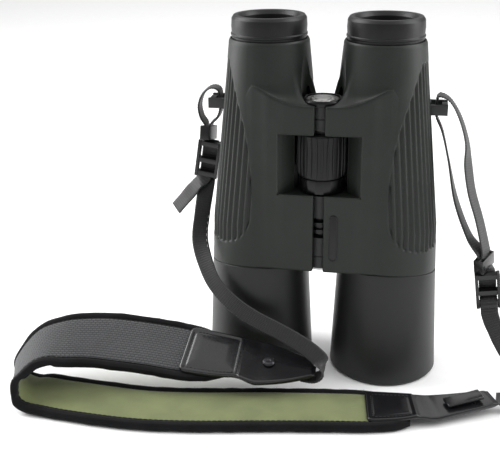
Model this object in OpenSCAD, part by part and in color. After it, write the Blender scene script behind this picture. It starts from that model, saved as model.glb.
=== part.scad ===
// Roof-prism binoculars with a padded neck strap, standing on the objective ends.
// X runs across the two barrels, -Y is the face with the focus wheel, and Z is up along the optical axes.
// The origin is on the standing surface, midway between the objectives.

/* [Optics] */
// Distance between the two objective axes
objective_spacing = 78; // [77.6:0.1:78.4]
// Distance between the two eyepiece axes with the hinge at rest
eyepiece_spacing = 66; // [65.6:0.1:66.4]
// Overall height from objective rim to eyecup rim
body_h = 217; // [216:0.5:219]
// Outer radius of the objective end
objective_r = 33; // [32.8:0.1:33.2]
// Outer radius of an eyecup
eyecup_r = 22; // [21.8:0.1:22.2]

/* [Bridge hinge] */
// How far the hinge axis stands before the plane of the optical axes
hinge_forward = 15; // [14.9:0.1:15.2]
// Radius of the hinge axle
axle_r = 5; // [4.8:0.1:5]
// Radius of the hinge knuckles
knuckle_r = 10.5; // [10.2:0.1:10.6]
// Half the width of the slot between the two front leaves
slot_half = 3; // [3:0.1:3.4]

/* [Focus] */
// Radius over the ribs of the focus wheel
wheel_r = 14.4; // [14:0.1:14.8]
// Number of grip ribs round the focus wheel
wheel_ribs = 26; // [20:1:32]
// Radius of the dioptre ring
dioptre_r = 13.2; // [12.8:0.1:13.6]

/* [Strap] */
// Width of the webbing
web_w = 10; // [9:0.5:10.5]
// Thickness of the webbing
web_t = 1.4; // [1.2:0.1:1.6]
// Thickness of the neck pad
pad_t = 5.4; // [4.5:0.1:5.4]

/* [Hidden] */
$fn = 64;
e = 0.01;           // overlap that lets a cut pass clean through a face
fit_gap = 0.1;      // clearance between pieces that stay together
run_gap = 0.05;     // radial clearance of a turning or sliding fit
obj_x = objective_spacing / 2;
eye_x = eyepiece_spacing / 2;
hinge_y = -hinge_forward;

leaf_z0 = 70.5;     // lower edge of the front leaf
leaf_z1 = 171.2;    // ledge at the top of the leaf
leaf_y = -30;       // front face of the leaf
back_y = 1;         // back face of the bridge
window_z0 = 118.5;
window_z1 = 155.7;
window_half = 24.3;
armour_top = 204;
seam_z = 66.5;      // height of the slanting seam at the optical axes
seam_slope = 10.5;  // degrees that the seam rises towards the front
clear_r = knuckle_r + 0.4;   // round the hinge, kept free by the other half
scoop_r = wheel_r + 1.9;     // room round the focus wheel
tube_r = 7.45;      // outside of the focus screw tube
cell_z = 98;        // middle of the focusing lens cell
bore_r = 25.2;      // bore of the housing that the focusing cell slides in
hood_r = 29.4;      // inside of the objective hood
eye_tube_r = 19.5;

house_top = 179.5;
// Barrel axis and radii as [height, value]: the barrel leans inwards between two heights
axis_line = [[0, obj_x], [96, obj_x], [180, eye_x], [300, eye_x]];
barrel_levels = [63, 80, 96, 108, 120, 132, 144, 156, 168, 180, armour_top];
barrel_radii = [[63, 30], [80, 29.3], [96, 28.8], [180, 25.6], [armour_top, 23.1]];
housing_radii = [[50, 26.3], [96, 26.3], [180, 23.2]];
inside_radii = [[104, 24.2], [176, 21.4]];
// Outline of one half's bridge, seen along the optical axes, from slot to barrel
function bridge(i) = [[slot_half + i, leaf_y + i], [20, leaf_y + i], [30, leaf_y + 1.4 + i],
                      [39, -24], [39, back_y - 8], [24, back_y - i],
                      [(back_y - hinge_y) * tan(15) + 0.8 + i, back_y - i],
                      [slot_half + i, hinge_y + 2]];

function add(list, i = 0) = i < len(list) ? concat(list[i], add(list, i + 1)) : [];
function unit(v) = v / norm(v);
// A closed solid through rings that all have n points, counted the same way round
module skin_rings(rings, n) {
    m = len(rings);
    side = [for (i = [0 : m - 2], j = [0 : n - 1], h = [0, 1])
        h == 0 ? [i * n + j, i * n + (j + 1) % n, (i + 1) * n + (j + 1) % n]
               : [i * n + j, (i + 1) * n + (j + 1) % n, (i + 1) * n + j]];
    lower = [for (j = [1 : n - 2]) [0, j + 1, j]];
    upper = [for (j = [1 : n - 2]) [(m - 1) * n, (m - 1) * n + j, (m - 1) * n + j + 1]];
    polyhedron(points = add(rings), faces = [for (f = concat(side, lower, upper)) [f[2], f[1], f[0]]]);
}
// A barrel built up from short cones, each on the barrel's own axis at its mid height
module stack(levels, radii, g = 0) {
    for (i = [0 : len(levels) - 2])
        translate([lookup((levels[i] + levels[i + 1]) / 2, axis_line), 0, levels[i]])
            cylinder(h = levels[i + 1] - levels[i], r1 = lookup(levels[i], radii) + g, r2 = lookup(levels[i + 1], radii) + g);
}
// Outside of the upper barrel
module barrel_shape() { stack(barrel_levels, barrel_radii); }
// Outside of the housing tube, grown by g for the space it takes in the armour
module housing_tube(g = 0) { stack([50, 96, 108, 120, 132, 144, 156, 168, house_top + g], housing_radii, g); }
// Half a lens face of radius r: z at the middle, bulging down (way 1, from the axis out) or up (way -1, from the rim in)
function arc(r, z, bend, way) = [for (i = [0 : 8]) let (x = way > 0 ? r * i / 8 : r * (1 - i / 8))
    [x, z + way * (bend - sqrt(bend * bend - x * x))]];
module right_or_left(side) { if (side > 0) children(); else mirror([1, 0, 0]) children(); }
module at_objective() { translate([obj_x, 0, 0]) children(); }
module at_eye() { translate([eye_x, 0, 0]) children(); }
module at_hinge() { translate([0, hinge_y, 0]) children(); }
module rod(z0, z1, r) { translate([0, 0, z0]) cylinder(h = z1 - z0, r = r); }
module slab(x0, x1, y0, y1, z0, z1) { translate([x0, y0, z0]) cube([x1 - x0, y1 - y0, z1 - z0]); }
module pipe(z0, z1, r_out, r_in) { difference() { rod(z0, z1, r_out); rod(z0 - e, z1 + e, r_in); } }
// Everything above the slanting seam, raised by lift
module above_seam(lift = 0) {
    translate([0, 0, seam_z + lift]) rotate([-seam_slope, 0, 0]) translate([-150, -150, 0]) cube([300, 300, 260]);
}
// Hinge knuckles: [low, high] for each half
knuckles_l = [[72.6, 79.8], [104.2, 117.6], [156.6, 162.8]];
knuckles_r = [[80.2, 91.8], [163.2, 170]];
module knuckles(list, grow = 0) {
    for (k = list) {
        at_hinge() rod(k[0] - grow, k[1] + grow, knuckle_r + grow);
        at_hinge() rotate([0, 0, 21]) slab(0, 18, -7.5 - grow, 7.5 + grow, k[0] - grow, k[1] + grow);
    }
}
// The window round the focus wheel, open at the front
module window_cut(grow = 0) {
    translate([0, 0, window_z0 - grow]) linear_extrude(window_z1 - window_z0 + 2 * grow) polygon([[-window_half, leaf_y - 9],
        [window_half, leaf_y - 9], [window_half, -29], [15.9, -19.5], [-15.9, -19.5], [-window_half, -29]]);
    at_hinge() rod(window_z0 - grow, window_z1 + grow, scoop_r + grow);
}
// The notch in the ledge that the hinge cap sits in
module cap_notch() { at_hinge() rod(170.15, 190, 12.3); }

// ---- Bodies of the two halves ----
module housing_outer() {
    housing_tube();
    difference() {
        translate([0, 0, leaf_z0 + 2]) linear_extrude(leaf_z1 - leaf_z0 - 4) polygon(bridge(2));
        at_hinge() rod(leaf_z0, leaf_z1, clear_r);
    }
}
module housing(side) {
    color("#2b2c2b") right_or_left(side) difference() {
        union() {
            difference() {
                housing_outer();
                window_cut();
                cap_notch();
            }
            knuckles(side > 0 ? knuckles_r : knuckles_l);
        }
        // barrel interior, kept clear of the room for the wheel
        difference() {
            union() {
                at_objective() rod(50 - e, 104, bore_r);
                stack([104, 108, 120, 132, 144, 156, 168, 176], inside_radii);
            }
            at_hinge() rod(window_z0 - 2, window_z1 + 2, scoop_r + 1.5);
        }
        at_eye() rod(170, 190, eye_tube_r + 0.05);
        // seat for the lug foot
        slab(57.35, 80, -2.5, 12.5, 160.9, 168.6);
        // slot for the fork arm
        at_hinge() rotate([0, 0, 21]) slab(8, 20, -5.6, 5.6, cell_z - 3.6, cell_z + 3.6);
        // hinge bores
        at_hinge() rod(60, 180, axle_r + run_gap);
        at_hinge() rod(100, 130, tube_r + run_gap);
    }
}
module armour(side) {
    color("#2f3a33") right_or_left(side) difference() {
        union() {
            barrel_shape();
            difference() {
                translate([0, 0, leaf_z0]) linear_extrude(leaf_z1 - leaf_z0) polygon(bridge(0));
                at_hinge() rod(leaf_z0 - 1, leaf_z1 + 1, clear_r);
            }
            // the ledge slopes up towards the neck
            translate([0, -10, 0]) rotate([90, 0, 0]) linear_extrude(-leaf_y - 11)
                polygon([[8, 150], [12.5, leaf_z1], [24, 174], [36, 180], [40, 170], [36, 150]]);
        }
        // what is below the seam
        translate([0, 0, seam_z + 0.1]) rotate([-seam_slope, 0, 0]) translate([-150, -150, -100]) cube([300, 300, 100]);
        // the housing inside it
        at_objective() rod(40, 60, 26.3 + fit_gap);
        housing_tube(fit_gap);
        translate([0, 0, leaf_z0 + 1.9]) linear_extrude(leaf_z1 - leaf_z0 - 3.8) polygon(bridge(1.9));
        at_eye() rod(179, 210, 21.9);
        window_cut();
        cap_notch();
        knuckles(side > 0 ? knuckles_r : knuckles_l, fit_gap);
        // recess for the lug
        slab(eye_x + 20, 80, 0.4, 9.6, 160.9, 168.6);
        slab(eye_x + 20, 80, -2.5, 12.5, 161.7, 167.9);
        // seat for the name plate
        if (side > 0) plate_shape(fit_gap);
    }
}
module sleeve(side) {
    color("#343a37") right_or_left(side) difference() {
        at_objective() rotate_extrude() polygon([[hood_r, 0], [objective_r - 1.2, 0], [objective_r, 1.6], [32.4, 12],
            [31.6, 30], [30.6, 50], [30.1, 66], [29.9, 76], [26.4, 76], [26.4, 49.8], [hood_r, 49.8]]);
        above_seam(-0.1);
    }
}
module objective_ring(side) {
    color("#141515") right_or_left(side) at_objective() pipe(9, 15, hood_r - 0.05, 28.2);
}
module objective_lens(side) {
    color("#3d4a5a") right_or_left(side) at_objective() rotate_extrude()
        polygon(concat(arc(28.15, 9.6, 160, 1), arc(28.15, 17.4, 160, -1)));
}
// Ring with an arm whose fork rides in the groove of the focus nut
module focus_cell(side) {
    color("#55585a") right_or_left(side) {
        at_objective() pipe(cell_z - 4.6, cell_z + 3.8, bore_r - run_gap, 19);
        difference() {
            at_hinge() rotate([0, 0, 21]) slab(8.2, 17.5, -5, 5, cell_z - 0.9, cell_z + 0.9);
            at_hinge() rod(cell_z - 2, cell_z + 2, 8.95);
            at_objective() rod(cell_z - 2, cell_z + 2, bore_r - 1);
        }
    }
}
module focus_lens(side) {
    color("#54606c") right_or_left(side) at_objective() rotate_extrude()
        polygon(concat(arc(18.95, cell_z - 3, 110, 1), [[18.95, cell_z + 3], [0, cell_z + 3]]));
}
module prism_cage(side) {
    color("#1d1e1f") right_or_left(side) translate([eye_x + 3, 0, 0]) {
        slab(-6.4, 15.4, -12.4, 12.4, 128, 131);
        slab(-6.4, 15.4, -12.4, -10.6, 130.99, 166);
        slab(-6.4, 15.4, 10.6, 12.4, 130.99, 166);
    }
}
module prism(side) {
    color("#8fa3b0") right_or_left(side) translate([eye_x + 3, 0, 131.1]) rotate([90, 0, 0])
        translate([0, 0, -10.4]) linear_extrude(20.8) polygon([[-6, 0], [15, 0], [15, 20], [9, 34], [0, 34], [-6, 24]]);
}
module eyepiece_tube(side) {
    color("#1a1b1c") right_or_left(side) at_eye()
        rotate_extrude() polygon([[13, 172], [eye_tube_r, 172], [eye_tube_r, 203.6], [15.4, 203.6], [15.4, 209], [10.2, 209], [10.2, 205], [13, 202]]);
}
module eye_lens(side) {
    color("#4a4358") right_or_left(side) at_eye() rotate_extrude()
        polygon(concat([[0, 205.1], [10.15, 205.1]], arc(10.15, 208.6, 40, -1)));
}
// Slides up off the eyepiece tube
module eyecup(side) {
    color("#222323") right_or_left(side) at_eye() rotate_extrude()
        polygon([[eye_tube_r + run_gap, 186], [21.5, 186], [21.5, 205.6], [eyecup_r, 205.6], [eyecup_r, 207], [21.5, body_h - 1.6],
            [20.4, body_h], [17.6, body_h], [16, body_h - 2.4], [16, 203.9], [eye_tube_r + run_gap, 203.9]]);
}
// Square bar across two cheeks, for the strap webbing
module lug(side) {
    color("#17181a") right_or_left(side) {
        slab(57.4, 60, 0.5, 9.5, 161, 168.5);
        slab(59.99, 69.6, 10.6, 12.4, 161.8, 167.8);
        slab(59.99, 69.6, -2.4, -0.6, 161.8, 167.8);
        slab(57.4, 60, -2.4, 12.4, 162, 167.6);
        slab(66.4, 69.6, -2.4, 12.4, 162.6, 167);
    }
}
// ---- Hinge and focus ----
module hinge_axle() { color("#77797b") at_hinge() rod(84, 170.2, axle_r); }
module tripod_bush() {
    color("#8b8d8f") at_hinge() difference() {
        union() {
            rod(71, 83.9, axle_r);
            rod(70.4, 72.5, 8);
        }
        rod(70, 82, 3.2);
    }
}
module cap_ring() { color("#101111") at_hinge() pipe(170.3, 173.6, 12, 9.85); }
module hinge_cap() {
    color("#b9bbbb") at_hinge() rotate_extrude()
        polygon([[0, 170.3], [9.75, 170.3], [9.75, 172.5], [9.2, 172.8], [7.6, 172.95], [7.6, 172.7], [7, 172.7], [7, 173], [4, 173.15], [0, 173.2]]);
}
// Outline with rounded ribs, as a ring of points
function ribbed(r_low, r_high, n) = [for (i = [0 : n - 1], k = [0 : 5])
    let (a = (i + k / 6) * 360 / n, r = k < 4 ? r_high : r_low) [r * cos(a), r * sin(a)]];
module focus_wheel() {
    color("#1b1c1d") at_hinge() difference() {
        union() {
            translate([0, 0, 129]) linear_extrude(24) polygon(ribbed(wheel_r - 1, wheel_r, wheel_ribs));
            rod(128, 154, wheel_r - 1.2);
        }
        rod(127, 155, tube_r + 0.02);
        pipe(146, 155, wheel_r - 3, tube_r + 2);
    }
}
module focus_tube() { color("#66686a") at_hinge() pipe(93, 154, tube_r, axle_r + run_gap); }
module focus_nut() {
    color("#4e5052") at_hinge() difference() {
        rod(cell_z - 3.4, cell_z + 3.4, knuckle_r);
        rod(cell_z - 5, cell_z + 5, tube_r + run_gap);
        pipe(cell_z - 0.95, cell_z + 0.95, knuckle_r + 1, 8.9);
    }
}
module dioptre_ring() {
    color("#202122") at_hinge() difference() {
        translate([0, 0, 119.6]) linear_extrude(8.1) polygon([for (i = [0 : 17]) dioptre_r * [cos(i * 20), sin(i * 20)]]);
        rod(118, 129, tube_r + run_gap);
    }
}
module plate_shape(grow = 0) {
    translate([8.9, leaf_y + 0.6 + grow, 0]) rotate([90, 0, 0]) linear_extrude(1 + grow) {
        translate([-2.6 - grow, 82.2]) square([5.2 + 2 * grow, 23.5]);
        translate([0, 82.2]) circle(r = 2.6 + grow);
        translate([0, 105.7]) circle(r = 2.6 + grow);
    }
}
module name_plate() { color("#0c0d0d") plate_shape(); }

// ---- Strap ----
// One point of a smooth curve through four route points
function between(a, b, c, d, t) = 0.5 * (2 * b + (c - a) * t + (2 * a - 5 * b + 4 * c - d) * t * t + (3 * b - a - 3 * c + d) * t * t * t);
function at(list, i) = list[max(0, min(len(list) - 1, i))];
function smooth(list, k) = concat([for (i = [0 : len(list) - 2], s = [0 : k - 1])
    between(at(list, i - 1), list[i], list[i + 1], at(list, i + 2), s / k)], [list[len(list) - 1]]);
// A flat band: each station is [near edge, far edge]
module band(stations, t, k = 2) {
    near = smooth([for (s = stations) s[0]], k);
    far = smooth([for (s = stations) s[1]], k);
    m = len(near);
    skin_rings([for (i = [0 : m - 1])
        let (c = (near[i] + far[i]) / 2,
             run = (at(near, i + 1) + at(far, i + 1) - at(near, i - 1) - at(far, i - 1)),
             w = (far[i] - near[i]) / 2,
             wu = unit(w),
             nrm = unit(cross(run, w)),
             c1 = min(0.35 * t, 1.5))
        [c - w + nrm * (t / 2 - c1), c - w + wu * c1 + nrm * t / 2, c + w - wu * c1 + nrm * t / 2, c + w + nrm * (t / 2 - c1),
         c + w - nrm * (t / 2 - c1), c + w - wu * c1 - nrm * t / 2, c - w + wu * c1 - nrm * t / 2, c - w - nrm * (t / 2 - c1)]], 8);
}
// Webbing: each station is [centre, direction across the webbing]
function webbed(st) = [for (s = st) [s[0] - unit(s[1]) * web_w / 2, s[0] + unit(s[1]) * web_w / 2]];
module webbing(st, k = 2) { band(webbed(st), web_t, k); }

pad_route = [[[-73, -69, 15], [-81, -34, 32]], [[-94, -69, 17], [-103, -35, 35]], [[-117, -70, 19], [-129, -37, 37]],
             [[-130, -73, 21], [-144, -40, 37]], [[-140, -78, 23], [-156, -44, 36]], [[-151, -84, 26], [-168, -48, 31]],
             [[-160, -90, 24], [-177, -54, 21]], [[-166, -96, 15], [-181, -59, 12]], [[-160, -98, 5], [-174, -60, 5]],
             [[-145, -99, 3], [-157, -61, 3]], [[-119, -102, 3], [-128, -63, 3]], [[-92, -103, 3], [-98, -64, 3]],
             [[-62, -100, 3], [-68, -61, 3]], [[-22, -93, 3], [-27, -54, 3]], [[14, -87, 3], [9, -49, 3]],
             [[34, -84, 3], [31, -47, 3]]];
tab_l_route = [[[-72.5, -69, 15], [-80.5, -34, 32]], [[-54, -69, 14], [-62, -35, 30]], [[-40, -68, 14], [-47, -36, 28]],
               [[-25, -65, 14], [-28, -37, 25]], [[-11, -61, 15], [-12, -40, 22]], [[2, -56, 17], [3, -46, 20]]];
tab_r_route = [[[34.6, -84, 3], [31.6, -47, 3]], [[53, -79, 3], [49, -47.5, 4]], [[67, -73, 4], [64, -48, 5]],
               [[81, -66, 5], [78, -46, 6]], [[95, -59, 6], [92, -43, 7]], [[106, -53, 7], [104, -39, 7]]];
loop_l_route = [[[-69.6, 5, 150.6], [0, 1, 0]], [[-65.6, 5, 154.5], [0, 1, 0]], [[-63.4, 5, 160], [0, 1, 0]],
                [[-63.2, 5, 167], [0, 1, 0]], [[-64.4, 5, 172], [0, 1, 0]], [[-69, 5, 173], [0, 1, 0]],
                [[-74, 5, 169], [0, 1, 0]], [[-76.5, 5, 162], [0, 1, 0]], [[-75.5, 5, 155], [0, 1, 0]], [[-72.8, 5, 150.4], [0, 1, 0]]];
webbing_l_route = [[[-73.6, 6.6, 114.4], [1, 0, 0.1]], [[-74.4, 2.6, 107], [1, 0.3, 0]], [[-75, -5, 95], [1, 0.6, 0]],
                   [[-74.8, -13, 81], [1, 0.6, 0.3]], [[-69, -23, 69], [0.7, 0.3, 0.7]], [[-62, -30, 59.5], [0.6, 0.1, 0.8]],
                   [[-50, -37, 51], [0.5, 0.3, 1]], [[-36, -41, 44], [0.5, 0.3, 1]], [[-20, -44, 38], [0.4, 0.3, 1]],
                   [[-6, -47, 32], [0.5, 0.4, 1]], [[4, -50, 26], [0.8, 0.4, 0.7]], [[6.6, -51, 21], [0.1, 1, 0.3]],
                    [[6.4, -51.5, 16.5], [0, 1, 0.2]], [[1.5, -51.5, 13.4], [0, 1, 0.2]], [[-6, -51.5, 14], [0, 1, 0.2]]];
tail_route = [[[-79.5, 3, 112], [1, 0, 0.6]], [[-82, 2, 109], [1, 0, 0.8]], [[-87, 1, 103], [1, 0, 0.9]], [[-93, 0, 96], [1, 0, 0.9]]];
loop_r_route = [[[93.4, -17, 85.6], [0.5, 1, 0.2]], [[86, -12, 94], [0.3, 1, 0]], [[77.6, -6, 113], [0.2, 1, 0]],
                [[72, 0, 135], [0, 1, 0]], [[67.6, 4, 151], [0, 1, 0]], [[63.6, 5, 160], [0, 1, 0]],
                [[63.2, 5, 167], [0, 1, 0]], [[64.6, 5, 172], [0, 1, 0]], [[71, 3, 169.5], [0, 1, 0]],
                [[77, 1, 160], [0.1, 1, 0]], [[81.5, -2, 147], [0.2, 1, 0]], [[83, -4, 134], [0.5, 1, 0]],
                [[86, -8, 119], [0.5, 1, 0]], [[91.5, -12, 103], [0.5, 1, 0]], [[96, -16, 86.6], [0.5, 1, 0.2]]];
webbing_r_route = [[[100.6, -22, 50.6], [1, 0, 0.2]], [[102.6, -23.5, 45], [1, 0, 0.3]], [[105, -24.5, 40.6], [1, 0.1, 0.4]]];
floor_route = [[[108.4, -25.6, 34], [0.9, 0.2, 0.5]], [[114, -26.5, 25], [0.8, 0.3, 0.6]], [[122, -27, 15], [0.4, 0.3, 1]], [[132, -28, 8], [0.1, 0.1, 1]], [[142, -31, 6], [0, 0, 1]], [[146, -38, 6], [0, 0, 1]], [[141, -45, 6], [0, 0, 1]],
               [[129, -48, 6], [0, 0.2, 1]], [[118, -47, 6], [0, 0.8, 0.8]], [[106.6, -46, 7.2], [0, 1, 0.1]]];
module neck_pad() { color("#2a2b2c") band(pad_route, pad_t, 3); }
module tab_l() { color("#121213") band(tab_l_route, 4, 2); }
module tab_r() { color("#121213") band(tab_r_route, 3, 2); }
module rivet_l() {
    color("#3a3b3c") translate([-25.5, -51, 19.5]) rotate([21, 0, 0]) translate([0, 0, 2.3]) cylinder(h = 1.2, r1 = 3.6, r2 = 2.8);
}
module tab_keeper() {
    color("#0f0f10") translate([88, -53.6, 9.6]) rotate([3, -6, 25]) cube([22, 8, 2], center = true);
}
module loop_l() { color("#161617") webbing(loop_l_route); }
module loop_r() { color("#161617") webbing(loop_r_route); }
module tail_l() { color("#161617") webbing(tail_route); }
module webbing_l() { color("#161617") webbing(webbing_l_route); }
module webbing_r() { color("#161617") webbing(webbing_r_route); }
module webbing_floor() { color("#161617") webbing(floor_route); }
// Rectangular keeper with two cross bars
module slider() {
    difference() {
        cube([14, 6, 8.4], center = true);
        translate([0, 1.5, 0]) cube([11, 1.6, 9], center = true);
        translate([0, -1.5, 0]) cube([11, 1.6, 9], center = true);
    }
}
// Ladder-lock buckle: two rails and three bars
module ladder_lock() {
    for (s = [-1, 1]) translate([s * 6.2, 0, 0]) cube([1.8, 5, 23], center = true);
    for (z = [-9.6, -1, 9.6]) translate([0, 0, z]) cube([12.4, 4.4, 3], center = true);
}
module slider_l() { color("#1c1c1d") translate([-71.7, 5, 144.8]) rotate([0, 12, 82]) slider(); }
module slider_r() { color("#1c1c1d") translate([95.5, -17.4, 80]) rotate([0, -14, 60]) slider(); }
module lock_l() { color("#18181a") translate([-72.4, 5, 128]) rotate([0, 9, 0]) ladder_lock(); }
module lock_r() { color("#18181a") translate([99, -20, 63.5]) rotate([8, -8, 0]) ladder_lock(); }

housing(-1);  // housing_l
housing(1);  // housing_r
armour(-1);  // armour_l
armour(1);  // armour_r
sleeve(-1);  // sleeve_l
sleeve(1);  // sleeve_r
objective_ring(-1);  // objective_ring_l
objective_ring(1);  // objective_ring_r
objective_lens(-1);  // objective_lens_l
objective_lens(1);  // objective_lens_r
focus_cell(-1);  // focus_cell_l
focus_cell(1);  // focus_cell_r
focus_lens(-1);  // focus_lens_l
focus_lens(1);  // focus_lens_r
prism_cage(-1);  // prism_cage_l
prism_cage(1);  // prism_cage_r
prism(-1);  // prism_l
prism(1);  // prism_r
eyepiece_tube(-1);  // eyepiece_tube_l
eyepiece_tube(1);  // eyepiece_tube_r
eye_lens(-1);  // eye_lens_l
eye_lens(1);  // eye_lens_r
eyecup(-1);  // eyecup_l
eyecup(1);  // eyecup_r
lug(-1);  // lug_l
lug(1);  // lug_r
hinge_axle();
tripod_bush();
cap_ring();
hinge_cap();
focus_wheel();
focus_tube();
focus_nut();
dioptre_ring();
name_plate();
loop_l();
slider_l();
lock_l();
tail_l();
webbing_l();
tab_l();
rivet_l();
neck_pad();
tab_r();
tab_keeper();
webbing_floor();
webbing_r();
loop_r();
slider_r();
lock_r();
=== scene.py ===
# %% [markdown]
# # Roof-prism binoculars with a neck strap
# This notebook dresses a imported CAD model: every moving body already has its place, so each piece
# below is built round it in metres, on the same axes, and then told which body it rides on.
# X runs across the two barrels, -Y is the side with the focus wheel, and Z is up.

# %% Load the frame
import math
import random

import bmesh
import bpy
import numpy as np
from mathutils import Matrix, Vector


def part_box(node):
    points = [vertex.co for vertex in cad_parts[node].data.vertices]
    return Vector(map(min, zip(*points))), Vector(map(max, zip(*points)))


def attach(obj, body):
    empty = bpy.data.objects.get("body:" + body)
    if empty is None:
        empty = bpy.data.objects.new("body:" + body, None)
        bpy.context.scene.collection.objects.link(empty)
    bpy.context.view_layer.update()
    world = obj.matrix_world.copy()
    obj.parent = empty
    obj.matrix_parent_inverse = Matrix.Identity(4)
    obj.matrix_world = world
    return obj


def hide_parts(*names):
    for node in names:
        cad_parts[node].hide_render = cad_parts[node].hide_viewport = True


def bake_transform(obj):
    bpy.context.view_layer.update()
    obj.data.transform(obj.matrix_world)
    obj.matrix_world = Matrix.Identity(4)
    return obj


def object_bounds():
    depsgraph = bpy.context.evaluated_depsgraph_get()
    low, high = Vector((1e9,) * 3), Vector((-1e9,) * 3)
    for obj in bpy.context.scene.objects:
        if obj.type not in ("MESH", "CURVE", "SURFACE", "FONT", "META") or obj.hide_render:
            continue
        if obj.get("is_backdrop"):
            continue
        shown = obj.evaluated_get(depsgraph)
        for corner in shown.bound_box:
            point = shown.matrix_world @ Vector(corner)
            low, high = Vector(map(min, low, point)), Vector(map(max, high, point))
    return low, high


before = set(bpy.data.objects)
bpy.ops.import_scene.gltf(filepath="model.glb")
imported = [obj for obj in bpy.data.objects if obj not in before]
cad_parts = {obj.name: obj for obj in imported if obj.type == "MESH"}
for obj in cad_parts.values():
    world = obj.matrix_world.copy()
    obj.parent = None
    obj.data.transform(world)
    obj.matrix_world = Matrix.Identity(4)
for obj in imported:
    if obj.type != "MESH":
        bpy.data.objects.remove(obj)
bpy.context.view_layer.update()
MM = 0.001
LEFT, RIGHT = "left_half", "right_half"

# %% [markdown]
# ## Camera
# The binoculars are seen from close by and from a little above, so the far eyecups look small beside
# the near strap. A moderate telephoto lens at half a metre gives that look.

# %% Camera
YAW, PITCH, ROLL = -0.194, 0.376, -0.014
forward = Vector((math.sin(YAW) * math.cos(PITCH), math.cos(YAW) * math.cos(PITCH), -math.sin(PITCH)))
side = forward.cross(Vector((0, 0, 1))).normalized()
up = side.cross(forward)
right_axis = side * math.cos(ROLL) + up * math.sin(ROLL)
up_axis = up * math.cos(ROLL) - side * math.sin(ROLL)
camera = bpy.data.objects.new("camera", bpy.data.cameras.new("camera"))
camera.data.lens = 63.26
camera.data.sensor_width = 36
camera.data.clip_start = 0.01
bpy.context.collection.objects.link(camera)
camera.matrix_world = Matrix((
    (right_axis.x, up_axis.x, -forward.x, 0.052413),
    (right_axis.y, up_axis.y, -forward.y, -0.500049),
    (right_axis.z, up_axis.z, -forward.z, 0.288615),
    (0, 0, 0, 1),
))
bpy.context.scene.camera = camera
print("camera looks along", [round(v, 3) for v in forward])

# %% [markdown]
# ## Small helpers
# A finish is a small node tree: a base colour broken up by noise, a roughness that varies with it,
# and a bump for the grain. Object coordinates keep the pattern still when the part is turned.

# %% Material helper
def finish(name, color, rough=0.5, spread=0.15, grain=0.0, grain_size=900.0, metal=0.0, sheen=0.0, coat=0.0,
           spec=0.5, tint=None):
    """A surface with noise-broken colour and roughness and a fine grain. Sizes are in noise cells per metre."""
    mat = bpy.data.materials.new(name)
    mat.use_nodes = True
    nodes, links = mat.node_tree.nodes, mat.node_tree.links
    shader = nodes["Principled BSDF"]
    where = nodes.new("ShaderNodeTexCoord")
    cloud = nodes.new("ShaderNodeTexNoise")
    cloud.inputs["Scale"].default_value = 60
    cloud.inputs["Detail"].default_value = 4
    links.new(where.outputs["Object"], cloud.inputs["Vector"])
    ramp = nodes.new("ShaderNodeValToRGB")
    low = [c * (1 - spread) for c in color]
    high = [c * (1 + spread) for c in (tint or color)]
    ramp.color_ramp.elements[0].color = (*low, 1)
    ramp.color_ramp.elements[1].color = (*high, 1)
    ramp.color_ramp.elements[0].position = 0.35
    ramp.color_ramp.elements[1].position = 0.65
    links.new(cloud.outputs["Fac"], ramp.inputs["Fac"])
    links.new(ramp.outputs["Color"], shader.inputs["Base Color"])
    gloss = nodes.new("ShaderNodeMapRange")
    gloss.inputs["To Min"].default_value = max(0.02, rough - 0.06)
    gloss.inputs["To Max"].default_value = min(1, rough + 0.06)
    links.new(cloud.outputs["Fac"], gloss.inputs["Value"])
    links.new(gloss.outputs["Result"], shader.inputs["Roughness"])
    shader.inputs["Metallic"].default_value = metal
    shader.inputs["Specular IOR Level"].default_value = spec
    if sheen:
        shader.inputs["Sheen Weight"].default_value = sheen
        shader.inputs["Sheen Roughness"].default_value = 0.4
    if coat:
        shader.inputs["Coat Weight"].default_value = coat
        shader.inputs["Coat Roughness"].default_value = 0.15
    if grain:
        fine = nodes.new("ShaderNodeTexNoise")
        fine.inputs["Scale"].default_value = grain_size
        fine.inputs["Detail"].default_value = 3
        links.new(where.outputs["Object"], fine.inputs["Vector"])
        bump = nodes.new("ShaderNodeBump")
        bump.inputs["Strength"].default_value = grain
        bump.inputs["Distance"].default_value = 0.0002
        links.new(fine.outputs["Fac"], bump.inputs["Height"])
        links.new(bump.outputs["Normal"], shader.inputs["Normal"])
    return mat


armour_rubber = finish("armour rubber", (0.0135, 0.0165, 0.0140), rough=0.47, grain=0.25, grain_size=2600, spread=0.10, spec=0.32)
sleeve_rubber = finish("sleeve rubber", (0.0130, 0.0145, 0.0135), rough=0.42, grain=0.15, grain_size=2600, spread=0.08, spec=0.32)
black_metal = finish("black anodised metal", (0.0045, 0.0045, 0.005), rough=0.28, grain=0.1, grain_size=3000, spec=0.3)
black_rubber = finish("black rubber", (0.0065, 0.0065, 0.007), rough=0.40, grain=0.2, grain_size=3000, spec=0.3)
dark_casting = finish("dark casting", (0.014, 0.015, 0.015), rough=0.5, grain=0.4, grain_size=1800)
cap_metal = finish("satin aluminium", (0.42, 0.42, 0.41), rough=0.32, metal=1.0, grain=0.2, grain_size=4000, spread=0.05)
steel = finish("brushed steel", (0.35, 0.35, 0.35), rough=0.35, metal=1.0, grain=0.1, grain_size=2000)
buckle_plastic = finish("buckle plastic", (0.010, 0.010, 0.011), rough=0.25, spread=0.05, grain=0.05, spec=0.4)
leather = finish("black leather", (0.006, 0.006, 0.007), rough=0.26, grain=0.35, grain_size=500, coat=0.3, spec=0.35)
fuzz = finish("fuzzy binding", (0.0048, 0.0048, 0.0055), rough=0.95, spread=0.4, grain=1.0, grain_size=1300, sheen=0.05, spec=0.2)
light_thread = finish("pale thread", (0.45, 0.45, 0.43), rough=0.8)
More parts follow.
